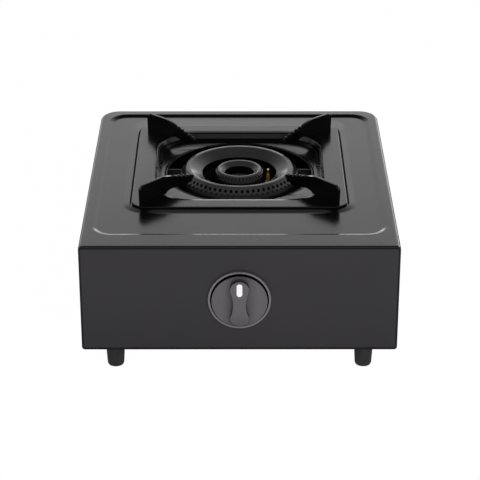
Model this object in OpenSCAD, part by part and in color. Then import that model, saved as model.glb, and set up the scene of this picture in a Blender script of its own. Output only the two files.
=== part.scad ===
// Single burner gas stove with a pressed top, a two ring burner and one push-and-turn knob.
// Heights are from the table, depths from the face of the front panel.

/* [Body] */
// Width of the body over its side walls
body_w = 300; // [280:1:340]
// Depth of the body, front panel to back wall
body_l = 343; // [330:1:400]
// Height of the body, bottom edge to top rim
body_h = 109; // [100:1:130]
// Thickness of the body sheets
sheet = 1; // [0.8:0.1:1.4]
// Radius of the two rear corners
rear_r = 20; // [10:1:28]
// Height of the feet
foot_h = 23; // [16:1:30]
// Radius of a foot at its top
foot_r = 9.2; // [8:0.1:11]
// Distance of a foot's axis from the side wall
foot_side = 31; // [24:1:36]
// Distance of a foot's axis from the front or back face
foot_end = 14; // [12:1:16]
// Depth of the bottom flanges that carry the feet
flange_deep = 30; // [28:1:36]
// Width of the bottom flanges along the sides
flange_side = 15; // [10:1:18]
// Height of the top panel's skirt at the sides and back
skirt_h = 12; // [9:0.5:16]
// Height of the top panel's lip over the front panel
lip_h = 2.7; // [2:0.1:4]

/* [Top panel] */
// Width of the rim at the sides and back
rim_side = 10; // [9:0.5:14]
// Width of the rim at the front
rim_front = 26; // [18:1:32]
// Corner radius of the tray
tray_r = 20; // [14:1:24]
// Drop from the rim to the tray floor
tray_drop = 2.1; // [1.8:0.1:2.6]
// Slope length of the tray's step
tray_run = 4.8; // [4:0.1:6]
// Depth of the burner axis behind the front panel
burner_y = 191.3; // [185:0.1:195]
// Gap between the pan support's inner flange and the mouth of the well
well_gap = 2.3; // [1.6:0.1:3]
// Depth of the well floor below the rim
well_drop = 7.5; // [7.2:0.1:8]
// Radius of the burner hole in the well floor
hole_r = 75; // [72:0.5:75.5]
// Height of the bead pressed up round the pan support's seat
bead_h = 0.8; // [0.5:0.1:1]
// Slope length of the bead
bead_run = 3.6; // [3:0.1:5]

/* [Pan support] */
// Width of the square frame
frame_w = 210.5; // [206:0.5:214]
// Depth of the seat pressed into the tray for the frame
seat_drop = 2.2; // [1.6:0.1:2.6]
// Gap between the frame and the edge of its seat
seat_gap = 2; // [1.4:0.1:2.4]
// Width of the flat band of the frame
band_w = 20; // [18.75:0.25:20.5]
// Height of the frame above the tray floor
frame_h = 3; // [2.6:0.1:4]
// Outer corner radius of the frame
frame_r = 15; // [10:1:18]
// Thickness of the frame sheet
frame_t = 1.2; // [1:0.1:1.5]
// Depth of the frame's inner flange
frame_flange = 6; // [4:0.5:7]
// Thickness of an arm
arm_t = 3; // [2:0.1:4]
// Distance of an arm's tip from the burner axis
arm_tip = 65.5; // [64:0.5:70]
// Distance of an arm's outer edge from the frame's corner
arm_inset = 5.6; // [3:0.1:8]
// Height of an arm above the frame
arm_h = 19.2; // [15:0.2:24]
// Height of an arm's tip above the frame
tip_h = 9.8; // [7:0.1:11]
// Teeth along the top of an arm
teeth = 5; // [3:1:7]

/* [Burner] */
// Depth of the burner ring's top below the rim
burner_drop = 0.8; // [0.5:0.1:3]
// Radius of the ring's top edge
ring_top_r = 54.6; // [53:0.1:55]
// Radius of the ring's base
ring_base_r = 59.6; // [58:0.1:60.5]
// Radius of the ring's inner edge
ring_in_r = 38; // [36:0.1:39]
// Height of the ring
ring_h = 11.5; // [10:0.5:13]
// Flame ports round the ring
ports = 64; // [40:4:72]
// Diameter of a flame port
port_d = 2.9; // [2:0.1:3.2]
// Radius of the centre cap's lower flange
cap_r = 24.2; // [23:0.1:25]
// Radius of the dish in the centre cap
cap_dish_r = 14.7; // [12:0.1:15.5]
// Flame slots round the centre cap
cap_slots = 40; // [24:4:48]
// Wall of the burner casting
cast_wall = 3.2; // [2.8:0.1:3.6]
// Depth of the gas chamber below the ring
chamber_h = 22; // [18:0.5:24]
// Offset of the ring's mixing tube from the middle
ring_tube_x = -28; // [-32:0.5:-25]
// Offset of the cap's mixing tube from the middle
cap_tube_x = 9; // [8:0.5:12]
// Radius of a mixing tube's mouth
mouth_r = 16; // [15:0.5:17]
// Radius of a mixing tube's throat
throat_r = 5.2; // [4.5:0.1:5.6]
// Thickness of an air shutter
shutter_t = 1; // [0.8:0.1:1.4]

/* [Gas valve and inlet] */
// Depth of the mixing tubes' mouths behind the front panel
mouth_y = 60; // [58:0.5:64]
// Radius of the valve plug
plug_r = 9; // [8:0.1:10]
// Radius of the valve spindle
spindle_r = 4.5; // [4:0.1:5]
// Travel of the knob when pushed
push = 2.5; // [2:0.1:2.6]
// Radius of the gas pipe
pipe_r = 5; // [4:0.1:6]
// Bend radius of the gas pipe
pipe_bend = 20; // [16:1:30]
// Radius of the hose spigot
spigot_r = 4.75; // [4.5:0.05:6]
// Length of the hose spigot behind the back wall
spigot_l = 28; // [24:1:36]
// Distance of the hose inlet from the right side wall
inlet_side = 45; // [38:1:60]

/* [Knob] */
// Depth of the knob axis below the rim
knob_drop = 55; // [50:1:60]
// Outer radius of the bezel
bezel_r = 29.75; // [28.5:0.05:32]
// Width of the bezel's ring
bezel_ring = 2.2; // [1.6:0.1:2.6]
// Height of the bezel's ring
bezel_h = 3; // [2:0.1:3.5]
// Gap between the dial and the bezel's ring
dial_gap = 0.9; // [0.6:0.1:1.2]
// Distance of the dial's face from the front panel
dial_out = 6; // [6:0.1:11]
// Thickness of the dial's disc
dial_t = 2; // [1.6:0.1:2]
// Height of the grip on the dial
grip_h = 6.5; // [6:0.5:14]
// Width of the grip at its ends
grip_end_w = 17.5; // [15:0.5:20]
// Width of the grip at its waist
grip_waist_w = 12; // [11:0.5:14]
// Width of the indicator
mark_w = 5.3; // [4:0.1:6]
// Length of the indicator
mark_l = 13; // [9:0.5:14]

/* [Clearances] */
// Gap between sheets that lie beside each other
gap = 0.4; // [0.3:0.1:0.6]
// Radial clearance of a turning or sliding fit
run_fit = 0.05; // [0.03:0.01:0.08]
// Radial clearance of a screw in its hole
screw_fit = 0.06; // [0.05:0.01:0.2]
// Radius of the screws' shanks
screw_r = 2; // [1.7:0.1:2.2]

/* [Hidden] */
$fn = 64;
eps = 0.01;

// Levels and places that several pieces share
rim_z = foot_h + body_h;
tray_z = rim_z - tray_drop;
well_z = rim_z - well_drop;
frame_z = tray_z + frame_h;
frame_foot_z = tray_z - seat_drop;
ring_z = rim_z - burner_drop;
seat_z = ring_z - ring_h;
floor_z = seat_z - chamber_h;
axis_z = rim_z - knob_drop;
front_top_z = rim_z - lip_h - gap;
skirt_z = rim_z - skirt_h;
knob_out = dial_out + grip_h;
face_y = -(body_l + spigot_l - knob_out) / 2;

// Screws
head_r = 1.8 * screw_r;
head_h = 0.9 * screw_r;
flat_head_h = 1;
hole_clear = screw_r + screw_fit;

// Casing
return_deep = 12;
tab_deep = 9;
tab_top_z = tray_z - sheet - 2;
casing_screw_x = body_w / 2 - foot_side / 2;
casing_screw_y = flange_deep - 6;
rear_screw_x = 60;
spindle_hole_r = spindle_r + 4.5;

// Pan support
frame_in = frame_w - 2 * band_w;
frame_in_r = 40;
corner_in = (frame_in / 2 - frame_in_r) * sqrt(2) + frame_in_r;
well_w = frame_in + 2 * frame_t + 2 * well_gap;
well_r = frame_in_r + frame_t + 1;
seat_w = frame_w + 2 * seat_gap;
seat_r = frame_r + seat_gap;
seat_run = 0.8;
seat_low = tray_drop + seat_drop;
well_slope = 1.5;
well_ledge = 2.5;
well_foot = 2;
well_run = well_slope + well_ledge + well_foot;
arm_end = (frame_w / 2 - frame_r) * sqrt(2) + frame_r - arm_inset;
arm_knee = arm_end - 30.5;
tooth_start = arm_end - 42.5;
tooth_end = arm_tip + 1.5;
tooth_drop = 2.6;
tooth_deep = 2.3;
leg_in = corner_in - 1;
arch_r = 9;
arch_h = 3.3;
under_h = 0.9;

// Burner
trough_out_r = ring_base_r - 0.6;
skirt_r = ring_in_r + 2.2;
cup_r = cap_r - 0.6;
cap_z = ring_z - 2.7;
cap_flange_z = 7;
cap_seat_z = cap_z - cap_flange_z;
ring_wall = 2.4;
ring_edge = 0.8;
ring_base_t = 4.9;
ring_skirt = 2.5;
rim_w = 4.2;
dish_deep = 6.8;
dish_steps = 6;
port_drop = 3.9;
slot_w = 2.4;
slot_h = 2.4;
slot_deep = 1.9;
cap_skirt_z = 11;
cap_dish_deep = 14;
cap_wall = 1.8;
cap_slot_w = 1.1;
cap_slot_h = 2;
lug_w = 16;
lug_t = 4;
lug_screw_x = ring_base_r + 4.5;
lug_end = lug_screw_x + 5;
bracket_w = 40;
bracket_t = 1.5;
bracket_z = well_z - sheet;
lug_z = seat_z - 6.2;
joggle_x = hole_r + 0.5;
bracket_screw_x = joggle_x + bracket_t + head_r + gap;
bracket_screw_y = 14;
tube_wall = 2.2;
tube_flare = 1;
riser_bore = throat_r + tube_flare + 0.8;
riser_r = riser_bore + 2.6;
trough_r = (trough_out_r - cast_wall + skirt_r) / 2;
ring_riser_y = burner_y - sqrt(pow(trough_r, 2) - pow(ring_tube_x, 2));
cap_riser_y = burner_y - sqrt(pow(cup_r - cast_wall - riser_bore - 0.7, 2) - pow(cap_tube_x, 2));
riser_base = axis_z - riser_r - 1;
window_r = 3.4;
jet_r = 3;
jet_boss_r = 7;
window_at = 10.4;
hub_r = 6;
plate_t = 2.5;
cone_l = 7;
throat_at = 24;
throat_l = 8;
electrode_x = (cap_r + ring_in_r) / 2 - 1.8;
insulator_r = 2.4;
electrode_z = ring_z - 17;

// Valve and inlet, depths behind the front panel
valve_front = sheet;
flange_t = 3;
barrel_r = plug_r + 6;
cavity_y = valve_front + 9;
plug_y = cavity_y + 10;
plug_l = 13.5;
cavity_end = plug_y + plug_l + 0.5;
manifold_y = cavity_end;
manifold_l = mouth_y - 10 - manifold_y;
jet_seat_y = manifold_y + manifold_l;
manifold_h = 18;
manifold_x0 = ring_tube_x - 10;
manifold_x1 = cap_tube_x + 31;
collar_t = 2;
collar_r = plug_r - 1.5;
collar_y = cavity_y + gap;
tongue_w = 5.6;
tongue_t = 2.4;
tongue_end = plug_y + 5;
spindle_front = -(dial_out + 4);
valve_screw_x = barrel_r + 7;
inlet_y = manifold_y + manifold_l / 2;
union_x = manifold_x1 + 7;
pipe_bore = pipe_r - 1.2;
pipe_nut_l = 11;
inlet_hex_t = 6;
spigot_bore = spigot_r - 1.6;
inlet_x = body_w / 2 - inlet_side;
inlet_hex_r = 10;
inlet_thread_r = 7;
washer_t = 1.5;
inlet_in = 14;
inlet_hole_r = inlet_thread_r + 0.3;
spring_r = 5.4;
spring_wire = 0.6;
spring_turns = 3.5;

// Igniter
piezo_w = 18;
piezo_h = 16;
piezo_y0 = valve_front + flange_t + 6;
piezo_y1 = manifold_y + 8;
piezo_z = axis_z + barrel_r;
lead_r = 1.8;
lead_z0 = piezo_z + piezo_h / 2;
lead_z1 = floor_z - cast_wall - 8;
lead_route = [
    [0, piezo_y1, lead_z0], [0, piezo_y1 + 4, lead_z0], [8, piezo_y1 + 15, lead_z0 + 1],
    [26, piezo_y1 + 30, lead_z0], [38, piezo_y1 + 48, lead_z0 - 4], [42, piezo_y1 + 68, lead_z1 + 5],
    [43, piezo_y1 + 88, lead_z1 - 4], [42, burner_y - 45, lead_z1 - 8], [38, burner_y - 25, lead_z1 - 10],
    [33, burner_y - 10, lead_z1 - 9], [electrode_x + 1, burner_y - 3, lead_z1 - 6],
    [electrode_x, burner_y, lead_z1 - 2], [electrode_x, burner_y, lead_z1]
];

// Knob
dial_r = bezel_r - bezel_ring - dial_gap;
grip_len = 2 * dial_r - 5.3;
grip_roll = 40;
grip_roll_from = 7;
mark_t = 1.2;
mark_top = dial_r - 5;
bezel_t = 0.8;

// Colours
enamel = [0.06, 0.06, 0.065];
panel_grey = [0.22, 0.21, 0.225];
cast_grey = [0.17, 0.165, 0.165];
brass = [0.75, 0.55, 0.2];
steel = [0.6, 0.6, 0.6];
knob_grey = [0.39, 0.38, 0.39];

// Shared shapes

// Rectangle with four round corners
module rounded(w, l, r) {
    square([w, l - 2 * r], center = true);
    square([w - 2 * r, l], center = true);
    for (x = [-1, 1], y = [-1, 1])
        translate([x * (w / 2 - r), y * (l / 2 - r)]) circle(r);
}

// Plan of the body, square in front and round behind, drawn inset by i
module body_plan(i = 0) {
    r = rear_r - i;
    translate([-body_w / 2 + i, i]) square([body_w - 2 * i, body_l - 2 * i - r]);
    translate([-body_w / 2 + i + r, i]) square([body_w - 2 * i - 2 * r, body_l - 2 * i]);
    for (s = [-1, 1])
        translate([s * (body_w / 2 - i - r), body_l - i - r]) circle(r);
}

// Wall that follows the body's plan between two insets
module plan_wall(outer, inner, z0, z1) {
    translate([0, 0, z0]) linear_extrude(z1 - z0) difference() {
        body_plan(outer);
        body_plan(inner);
    }
}

// Profile swept round a rounded rectangle, x outwards from the path
module swept(w, l, r) {
    for (q = [0 : 3]) {
        across = q % 2 == 0 ? w : l;
        along = q % 2 == 0 ? l : w;
        rotate(90 * q) translate([across / 2, along / 2 - r, 0])
            rotate([90, 0, 0]) linear_extrude(along - 2 * r) children();
        rotate(90 * q) translate([across / 2 - r, along / 2 - r, 0])
            rotate_extrude(angle = 90, $fn = 96) translate([r, 0]) children();
    }
}

// Turns a shape drawn upright so that it runs back from depth y on the axis (x, z)
module back_from(x, y, z) {
    translate([x, y, z]) rotate([-90, 0, 0]) children();
}

// Extrudes a flat shape towards the viewer from depth y
module out_from(y, h) {
    translate([0, y, axis_z]) rotate([90, 0, 0]) linear_extrude(h) children();
}

// Cross-slot screw standing on its head's underside, shank upwards
module screw(length, head = head_h) {
    slot_w = 0.8;
    slot_l = 1.2 * head_r;
    cylinder(r = screw_r, h = length);
    difference() {
        translate([0, 0, -head]) cylinder(r = head_r, h = head);
        for (a = [0, 90])
            rotate(a) translate([-slot_l / 2, -slot_w / 2, -head - eps]) cube([slot_l, slot_w, head / 2]);
    }
}

// Tube round a list of points, with a fixed vector across the run
function unit(v) = v / norm(v);
function heading(p, i) = unit(p[min(i + 1, len(p) - 1)] - p[max(i - 1, 0)]);
function ring_points(p, i, r, n, ref) =
    let (t = heading(p, i), u = unit(cross(ref, t)), v = cross(t, u))
    [for (k = [0 : n - 1]) p[i] + r * (cos(360 * k / n) * u + sin(360 * k / n) * v)];
module tube_along(p, r, n, ref) {
    rings = len(p);
    points = [for (i = [0 : rings - 1]) each ring_points(p, i, r, n, ref)];
    sides = [for (i = [0 : rings - 2], k = [0 : n - 1]) let (a = i * n + k, b = i * n + (k + 1) % n)
        each [[a, a + n, b], [b, a + n, b + n]]];
    first = [for (k = [1 : n - 2]) [0, k, k + 1]];
    last = [for (k = [1 : n - 2]) [(rings - 1) * n, (rings - 1) * n + k + 1, (rings - 1) * n + k]];
    polyhedron(points, concat(sides, first, last), convexity = 10);
}

// Casing

module tray_step() {
    polygon([[0, 0], [0, -sheet], [-tray_run, -tray_drop - sheet], [-tray_run, -tray_drop]]);
}

module bead_slope() {
    polygon([
        [0, -tray_drop], [0, -tray_drop - sheet], [-bead_run, bead_h - tray_drop - sheet],
        [-bead_run, bead_h - tray_drop]
    ]);
}

// Drafted wall of the frame's seat, thicker outside so that the step keeps its strength
module seat_wall() {
    back = 0.6;
    polygon([
        [0, bead_h - tray_drop], [back, bead_h - tray_drop - sheet], [back - seat_run, -seat_low - sheet],
        [-seat_run, -seat_low - sheet], [-seat_run, -seat_low]
    ]);
}

// Two drafted walls with a ledge between them
module well_wall() {
    mid = (seat_low + well_drop) / 2;
    ledge_in = well_slope + well_ledge;
    polygon([
        [0, -seat_low], [0, -seat_low - sheet], [-well_slope, -mid - sheet], [-ledge_in, -mid - sheet],
        [-well_run, -well_drop - sheet], [-well_run, -well_drop], [-ledge_in, -mid], [-well_slope, -mid]
    ]);
}

module top_panel() {
    tray_w = body_w - 2 * rim_side;
    tray_l = body_l - rim_front - rim_side;
    tray_y = rim_front + tray_l / 2;
    seat_floor_w = seat_w - 2 * seat_run;
    floor_w = well_w - 2 * well_run;
    bead_w = seat_w + 2 * bead_run;
    color(enamel) difference() {
        union() {
            translate([0, 0, rim_z - sheet]) linear_extrude(sheet) difference() {
                body_plan();
                translate([0, tray_y]) rounded(tray_w, tray_l, tray_r);
            }
            translate([0, tray_y, rim_z]) swept(tray_w, tray_l, tray_r) tray_step();
            translate([0, 0, tray_z - sheet]) linear_extrude(sheet) difference() {
                translate([0, tray_y])
                    rounded(tray_w - 2 * tray_run, tray_l - 2 * tray_run, tray_r - tray_run);
                translate([0, burner_y]) rounded(bead_w, bead_w, seat_r + bead_run);
            }
            translate([0, burner_y, rim_z]) swept(bead_w, bead_w, seat_r + bead_run) bead_slope();
            translate([0, burner_y, rim_z]) swept(seat_w, seat_w, seat_r) seat_wall();
            translate([0, burner_y, frame_foot_z - sheet]) linear_extrude(sheet) difference() {
                rounded(seat_floor_w, seat_floor_w, seat_r - seat_run);
                rounded(well_w, well_w, well_r);
            }
            translate([0, burner_y, rim_z]) swept(well_w, well_w, well_r) well_wall();
            translate([0, burner_y, well_z - sheet]) linear_extrude(sheet) difference() {
                rounded(floor_w, floor_w, well_r - well_run);
                circle(hole_r);
            }
            plan_wall(0, sheet, skirt_z, rim_z - sheet);
        }
        translate([-body_w, -1, skirt_z - 1])
            cube([2 * body_w, return_deep + gap + 1, skirt_h + 1 - lip_h]);
        for (s = [-1, 1]) {
            back_from(s * rear_screw_x, body_l - 2, skirt_z + skirt_h / 2) cylinder(r = hole_clear, h = 3);
            for (t = [-1, 1])
                translate([s * bracket_screw_x, burner_y + t * bracket_screw_y, well_z - 2])
                    cylinder(r = hole_clear, h = 3);
        }
    }
}

module front_panel() {
    height = front_top_z - foot_h;
    corner_r = 3;
    color(panel_grey) difference() {
        union() {
            translate([0, sheet, foot_h]) rotate([90, 0, 0]) linear_extrude(sheet) {
                translate([-body_w / 2, corner_r]) square([body_w, height - corner_r]);
                translate([-body_w / 2 + corner_r, 0]) square([body_w - 2 * corner_r, corner_r + eps]);
                for (s = [-1, 1]) translate([s * (body_w / 2 - corner_r), corner_r]) circle(corner_r);
            }
            for (s = [-1, 1])
                translate([s * (body_w - sheet) / 2 - sheet / 2, 0, foot_h + corner_r])
                    cube([sheet, return_deep, height - corner_r]);
            translate([-body_w / 2 + 2 * sheet + gap, 0, foot_h])
                cube([body_w - 4 * sheet - 2 * gap, flange_deep, sheet]);
            translate([-body_w / 2 + 2 * sheet + gap, 0, front_top_z - sheet])
                cube([body_w - 4 * sheet - 2 * gap, return_deep, sheet]);
        }
        back_from(0, -1, axis_z) cylinder(r = spindle_hole_r, h = sheet + 2);
        for (s = [-1, 1]) {
            back_from(s * valve_screw_x, -1, axis_z) cylinder(r = hole_clear, h = sheet + 2);
            translate([s * (body_w / 2 - foot_side), foot_end, foot_h - 1])
                cylinder(r = hole_clear, h = sheet + 2);
            translate([s * casing_screw_x, casing_screw_y, foot_h - 1])
                cylinder(r = hole_clear, h = sheet + 2);
        }
    }
}

module body_shell() {
    front = return_deep + gap;
    top = skirt_z - gap;
    color(panel_grey) difference() {
        union() {
            difference() {
                union() {
                    plan_wall(0, sheet, foot_h, top);
                    plan_wall(sheet, 2 * sheet, top - tab_deep, tab_top_z);
                }
                translate([-body_w, -1, 0]) cube([2 * body_w, front + 1, rim_z]);
            }
            for (s = [-1, 1])
                translate([s * (body_w / 2 - 1.5 * sheet) - sheet / 2, 2 * sheet, foot_h + 2 * sheet])
                    cube([sheet, front + tab_deep, tab_top_z - foot_h - 2 * sheet]);
            translate([0, 0, foot_h]) linear_extrude(sheet) difference() {
                body_plan(sheet / 2);
                translate([-body_w / 2 + flange_side, -1])
                    square([body_w - 2 * flange_side, body_l - flange_deep + 1]);
                translate([-body_w, -1]) square([2 * body_w, flange_deep + gap + 1]);
            }
            for (s = [-1, 1])
                translate([s * casing_screw_x - 10, casing_screw_y - 8, foot_h + sheet])
                    cube([20, flange_deep - casing_screw_y + 28, sheet]);
        }
        back_from(inlet_x, body_l - 3, axis_z) cylinder(r = inlet_hole_r, h = 4);
        for (s = [-1, 1]) {
            back_from(s * rear_screw_x, body_l - 3, skirt_z + skirt_h / 2) cylinder(r = hole_clear, h = 4);
            translate([s * (body_w / 2 - foot_side), body_l - foot_end, foot_h - 1])
                cylinder(r = hole_clear, h = sheet + 2);
            translate([s * casing_screw_x, casing_screw_y, foot_h - 1])
                cylinder(r = hole_clear, h = 2 * sheet + 2);
        }
    }
}

module casing_screws() {
    color(steel) for (s = [-1, 1]) {
        translate([s * casing_screw_x, casing_screw_y, foot_h]) screw(2 * sheet + 6);
        translate([s * rear_screw_x, body_l, skirt_z + skirt_h / 2]) rotate([90, 0, 0]) screw(2 * sheet + 6);
    }
}

// Round rubber foot with a sunk screw seat
module foot(x, y) {
    foot_low_r = foot_r - 1.2;
    color([0.12, 0.12, 0.12]) translate([x, y, 0]) rotate_extrude() polygon([
        [head_r + 0.4, 0], [foot_low_r - 2.2, 0], [foot_low_r - 0.7, 0.7], [foot_low_r, 2.2],
        [foot_r, foot_h], [hole_clear, foot_h], [hole_clear, foot_h / 2], [head_r + 0.4, foot_h / 2]
    ]);
}

module foot_front_left() { foot(-body_w / 2 + foot_side, foot_end); }
module foot_front_right() { foot(body_w / 2 - foot_side, foot_end); }
module foot_rear_left() { foot(-body_w / 2 + foot_side, body_l - foot_end); }
module foot_rear_right() { foot(body_w / 2 - foot_side, body_l - foot_end); }

module foot_screws() {
    color(steel) for (s = [-1, 1], y = [foot_end, body_l - foot_end])
        translate([s * (body_w / 2 - foot_side), y, foot_h / 2]) screw(foot_h / 2 + sheet + 5);
}

// Pan support

module pan_support_frame() {
    outer = frame_w - 2 * frame_t;
    flange_lean = 2;
    color(enamel) translate([0, burner_y, 0]) {
        translate([0, 0, frame_z - frame_t]) linear_extrude(frame_t) difference() {
            rounded(frame_w, frame_w, frame_r);
            rounded(frame_in, frame_in, frame_in_r);
        }
        translate([0, 0, frame_foot_z]) linear_extrude(frame_z - frame_t - frame_foot_z) difference() {
            rounded(frame_w, frame_w, frame_r);
            rounded(outer, outer, frame_r - frame_t);
        }
        translate([0, 0, frame_z]) swept(frame_in, frame_in, frame_in_r) polygon([
            [0, -frame_t], [frame_t, -frame_t], [frame_t - flange_lean, -frame_flange],
            [-flange_lean, -frame_flange]
        ]);
    }
}

// Outline of an arm, x from the burner axis and y from the top of the frame
module arm_outline() {
    pitch = (tooth_start - tooth_end) / teeth;
    beak_end = arm_tip + 9;
    function edge(x) = tip_h + (arm_h - tooth_drop - tip_h) * (x - tooth_end) / (tooth_start - tooth_end);
    crest = [for (i = [0 : teeth - 1]) let (x = tooth_start - i * pitch)
        each [[x, edge(x)], [x - pitch * 0.45, edge(x) - tooth_deep], [x - pitch * 0.7, edge(x - pitch * 0.7)]]];
    arch = [for (a = [165 : -15 : 15]) [leg_in - arch_r + arch_r * cos(a), arch_h * sin(a)]];
    polygon(concat(
        [[arm_end, 0], [arm_end + 0.5, arm_h - 4.4], [arm_end - 1.4, arm_h - 2.4], [arm_end - 2, arm_h - 2.8],
            [arm_end - 4, arm_h - 0.7], [arm_knee, arm_h], [tooth_start + 7, arm_h - 1.2]],
        crest,
        [[tooth_end, tip_h], [arm_tip, tip_h - 1.6], [arm_tip, tip_h - 3.4], [arm_tip + 2, tip_h - 4.9],
            [beak_end, under_h + 0.1]],
        arch,
        [[leg_in, 0]]
    ));
}

module arm(turn) {
    color(enamel) translate([0, burner_y, frame_z]) rotate(turn)
        translate([0, arm_t / 2, 0]) rotate([90, 0, 0]) linear_extrude(arm_t) arm_outline();
}

module arm_front_left() { arm(225); }
module arm_front_right() { arm(315); }
module arm_rear_left() { arm(135); }
module arm_rear_right() { arm(45); }

// Burner

// Hollow ported ring with a dished top, drawn below its top edge
module burner_ring() {
    flank_r = ring_base_r - 1;
    base_z = ring_base_t - ring_h;
    skirt_low = -ring_h - ring_skirt;
    dish_out = ring_top_r - rim_w;
    dish = [for (i = [0 : dish_steps]) let (t = i / dish_steps)
        [ring_in_r + t * (dish_out - ring_in_r), -dish_deep * pow(1 - t, 1.05)]];
    color(cast_grey) translate([0, burner_y, ring_z]) difference() {
        rotate_extrude($fn = 128) polygon(concat(dish, [
            [ring_top_r - ring_edge, 0], [ring_top_r, -ring_edge], [flank_r, base_z],
            [ring_base_r, base_z - ring_edge / 2], [ring_base_r, -ring_h], [trough_out_r - cast_wall, -ring_h],
            [ring_top_r - ring_wall, -dish_deep / 2], [ring_in_r + 3 * ring_wall, -dish_deep * 0.9],
            [skirt_r, -dish_deep - ring_wall / 2], [skirt_r, skirt_low], [ring_in_r, skirt_low]
        ]));
        for (i = [0 : ports - 1]) {
            rotate(360 * (i + 0.5) / ports) translate([ring_top_r - ring_wall - 1, 0, -port_drop])
                rotate([0, 90, 0]) cylinder(d = port_d, h = ring_wall + 8, $fn = 16);
            rotate(360 * i / ports) translate([ring_base_r - slot_deep, -slot_w / 2, base_z + 0.4 - slot_h])
                cube([2 * slot_deep, slot_w, slot_h]);
        }
    }
}

// Small cap with a funnel dish and a row of slots under its rim, drawn below its top edge
module burner_centre_cap() {
    rim_r = cap_r - 1.5;
    funnel_z = 4;
    shoulder_z = 2.7;
    skirt_out = cup_r - cast_wall - run_fit * 4;
    skirt_in = skirt_out - cap_wall;
    stem_r = cap_dish_r + cap_wall;
    bottom_z = cap_dish_deep + cap_wall;
    color(cast_grey) translate([0, burner_y, cap_z]) difference() {
        rotate_extrude($fn = 96) polygon([
            [0, -cap_dish_deep], [cap_dish_r - 1.5, -cap_dish_deep], [cap_dish_r, 1.5 - cap_dish_deep],
            [cap_dish_r, -funnel_z], [cap_dish_r + 3.9, -ring_edge], [cap_dish_r + 4.9, 0],
            [rim_r - ring_edge, 0], [rim_r, -ring_edge], [rim_r, 0.8 - shoulder_z], [cap_r, -shoulder_z],
            [cap_r, -cap_flange_z], [skirt_out, -cap_flange_z], [skirt_out, -cap_skirt_z],
            [skirt_in, -cap_skirt_z], [skirt_in, 1 - funnel_z], [stem_r + cap_wall, 1 - funnel_z],
            [stem_r, -funnel_z - 1], [stem_r, -bottom_z], [0, -bottom_z]
        ]);
        for (i = [0 : cap_slots - 1]) rotate(360 * i / cap_slots)
            translate([skirt_out - 2, -cap_slot_w / 2, 0.4 - funnel_z])
                cube([cap_r - skirt_out + 3, cap_slot_w, cap_slot_h]);
    }
}

// Venturi tube with a window plate at its mouth, drawn upwards from the mouth
module mixing_tube(length) {
    throat_out = throat_r + tube_wall;
    rotate_extrude() polygon([
        [0, 0], [mouth_r, 0], [mouth_r, plate_t], [mouth_r - 2, cone_l], [throat_out, throat_at],
        [throat_out, throat_at + throat_l], [throat_out + tube_flare, length], [0, length]
    ]);
}

module mixing_bore(length) {
    rotate_extrude() polygon([
        [0, plate_t], [mouth_r - 2.4, plate_t], [mouth_r - 4.6, cone_l], [throat_r, throat_at],
        [throat_r, throat_at + throat_l], [throat_r + tube_flare, length], [0, length]
    ]);
}

// Upright part of a gas way from z0 up to z1
module riser(x, y, r, z0, z1) {
    translate([x, y, z0]) cylinder(r = r, h = z1 - z0);
}

module burner_casting() {
    floor_low = floor_z - cast_wall;
    trough_in_r = ring_in_r - 0.8;
    skirt_gap = 0.2;
    color(cast_grey) difference() {
        union() {
            translate([0, burner_y, 0]) rotate_extrude($fn = 128) polygon([
                [0, floor_low], [trough_out_r - 1, floor_low], [trough_out_r, floor_low + 2],
                [trough_out_r, seat_z], [trough_out_r - cast_wall, seat_z],
                [trough_out_r - cast_wall, floor_z], [skirt_r + skirt_gap, floor_z],
                [skirt_r + skirt_gap, seat_z - ring_skirt], [trough_in_r, seat_z - ring_skirt],
                [trough_in_r, floor_z],
                [cup_r, floor_z], [cup_r, cap_seat_z], [cup_r - cast_wall, cap_seat_z],
                [cup_r - cast_wall, floor_z], [0, floor_z]
            ]);
            for (s = [-1, 1])
                translate([s * (trough_out_r + lug_end) / 2, burner_y, lug_z + lug_t / 2])
                    cube([lug_end - trough_out_r + 2, lug_w, lug_t], center = true);
            back_from(ring_tube_x, mouth_y, axis_z) mixing_tube(ring_riser_y - mouth_y);
            back_from(cap_tube_x, mouth_y, axis_z) mixing_tube(cap_riser_y - mouth_y);
            riser(ring_tube_x, ring_riser_y, riser_r, riser_base, floor_low + 1);
            riser(cap_tube_x, cap_riser_y, riser_r, riser_base, floor_low + 1);
            for (x = [ring_tube_x, cap_tube_x])
                back_from(x, mouth_y - shutter_t - 2 * gap, axis_z) cylinder(r = hub_r, h = shutter_t + 1);
        }
        back_from(ring_tube_x, mouth_y, axis_z) mixing_bore(ring_riser_y - mouth_y);
        back_from(cap_tube_x, mouth_y, axis_z) mixing_bore(cap_riser_y - mouth_y);
        riser(ring_tube_x, ring_riser_y, riser_bore, axis_z - riser_bore, floor_z + eps);
        riser(cap_tube_x, cap_riser_y, riser_bore, axis_z - riser_bore, floor_z + eps);
        for (x = [ring_tube_x, cap_tube_x]) {
            back_from(x, mouth_y - 5, axis_z) cylinder(r = hub_r - 2, h = 8);
            for (a = [45 : 90 : 315])
                back_from(x + window_at * cos(a), mouth_y - 1, axis_z + window_at * sin(a))
                    cylinder(r = window_r, h = 4);
        }
        for (a = [30 : 60 : 330])
            translate([(cup_r + trough_in_r) / 2 * cos(a), burner_y + (cup_r + trough_in_r) / 2 * sin(a),
                floor_low - 1]) cylinder(r = 4.5, h = cast_wall + 2);
        translate([electrode_x, burner_y, floor_low - 1]) cylinder(r = insulator_r + run_fit, h = cast_wall + 2);
        for (s = [-1, 1])
            translate([s * lug_screw_x, burner_y, lug_z - 1]) cylinder(r = hole_clear, h = lug_t + 2);
    }
}

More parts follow.
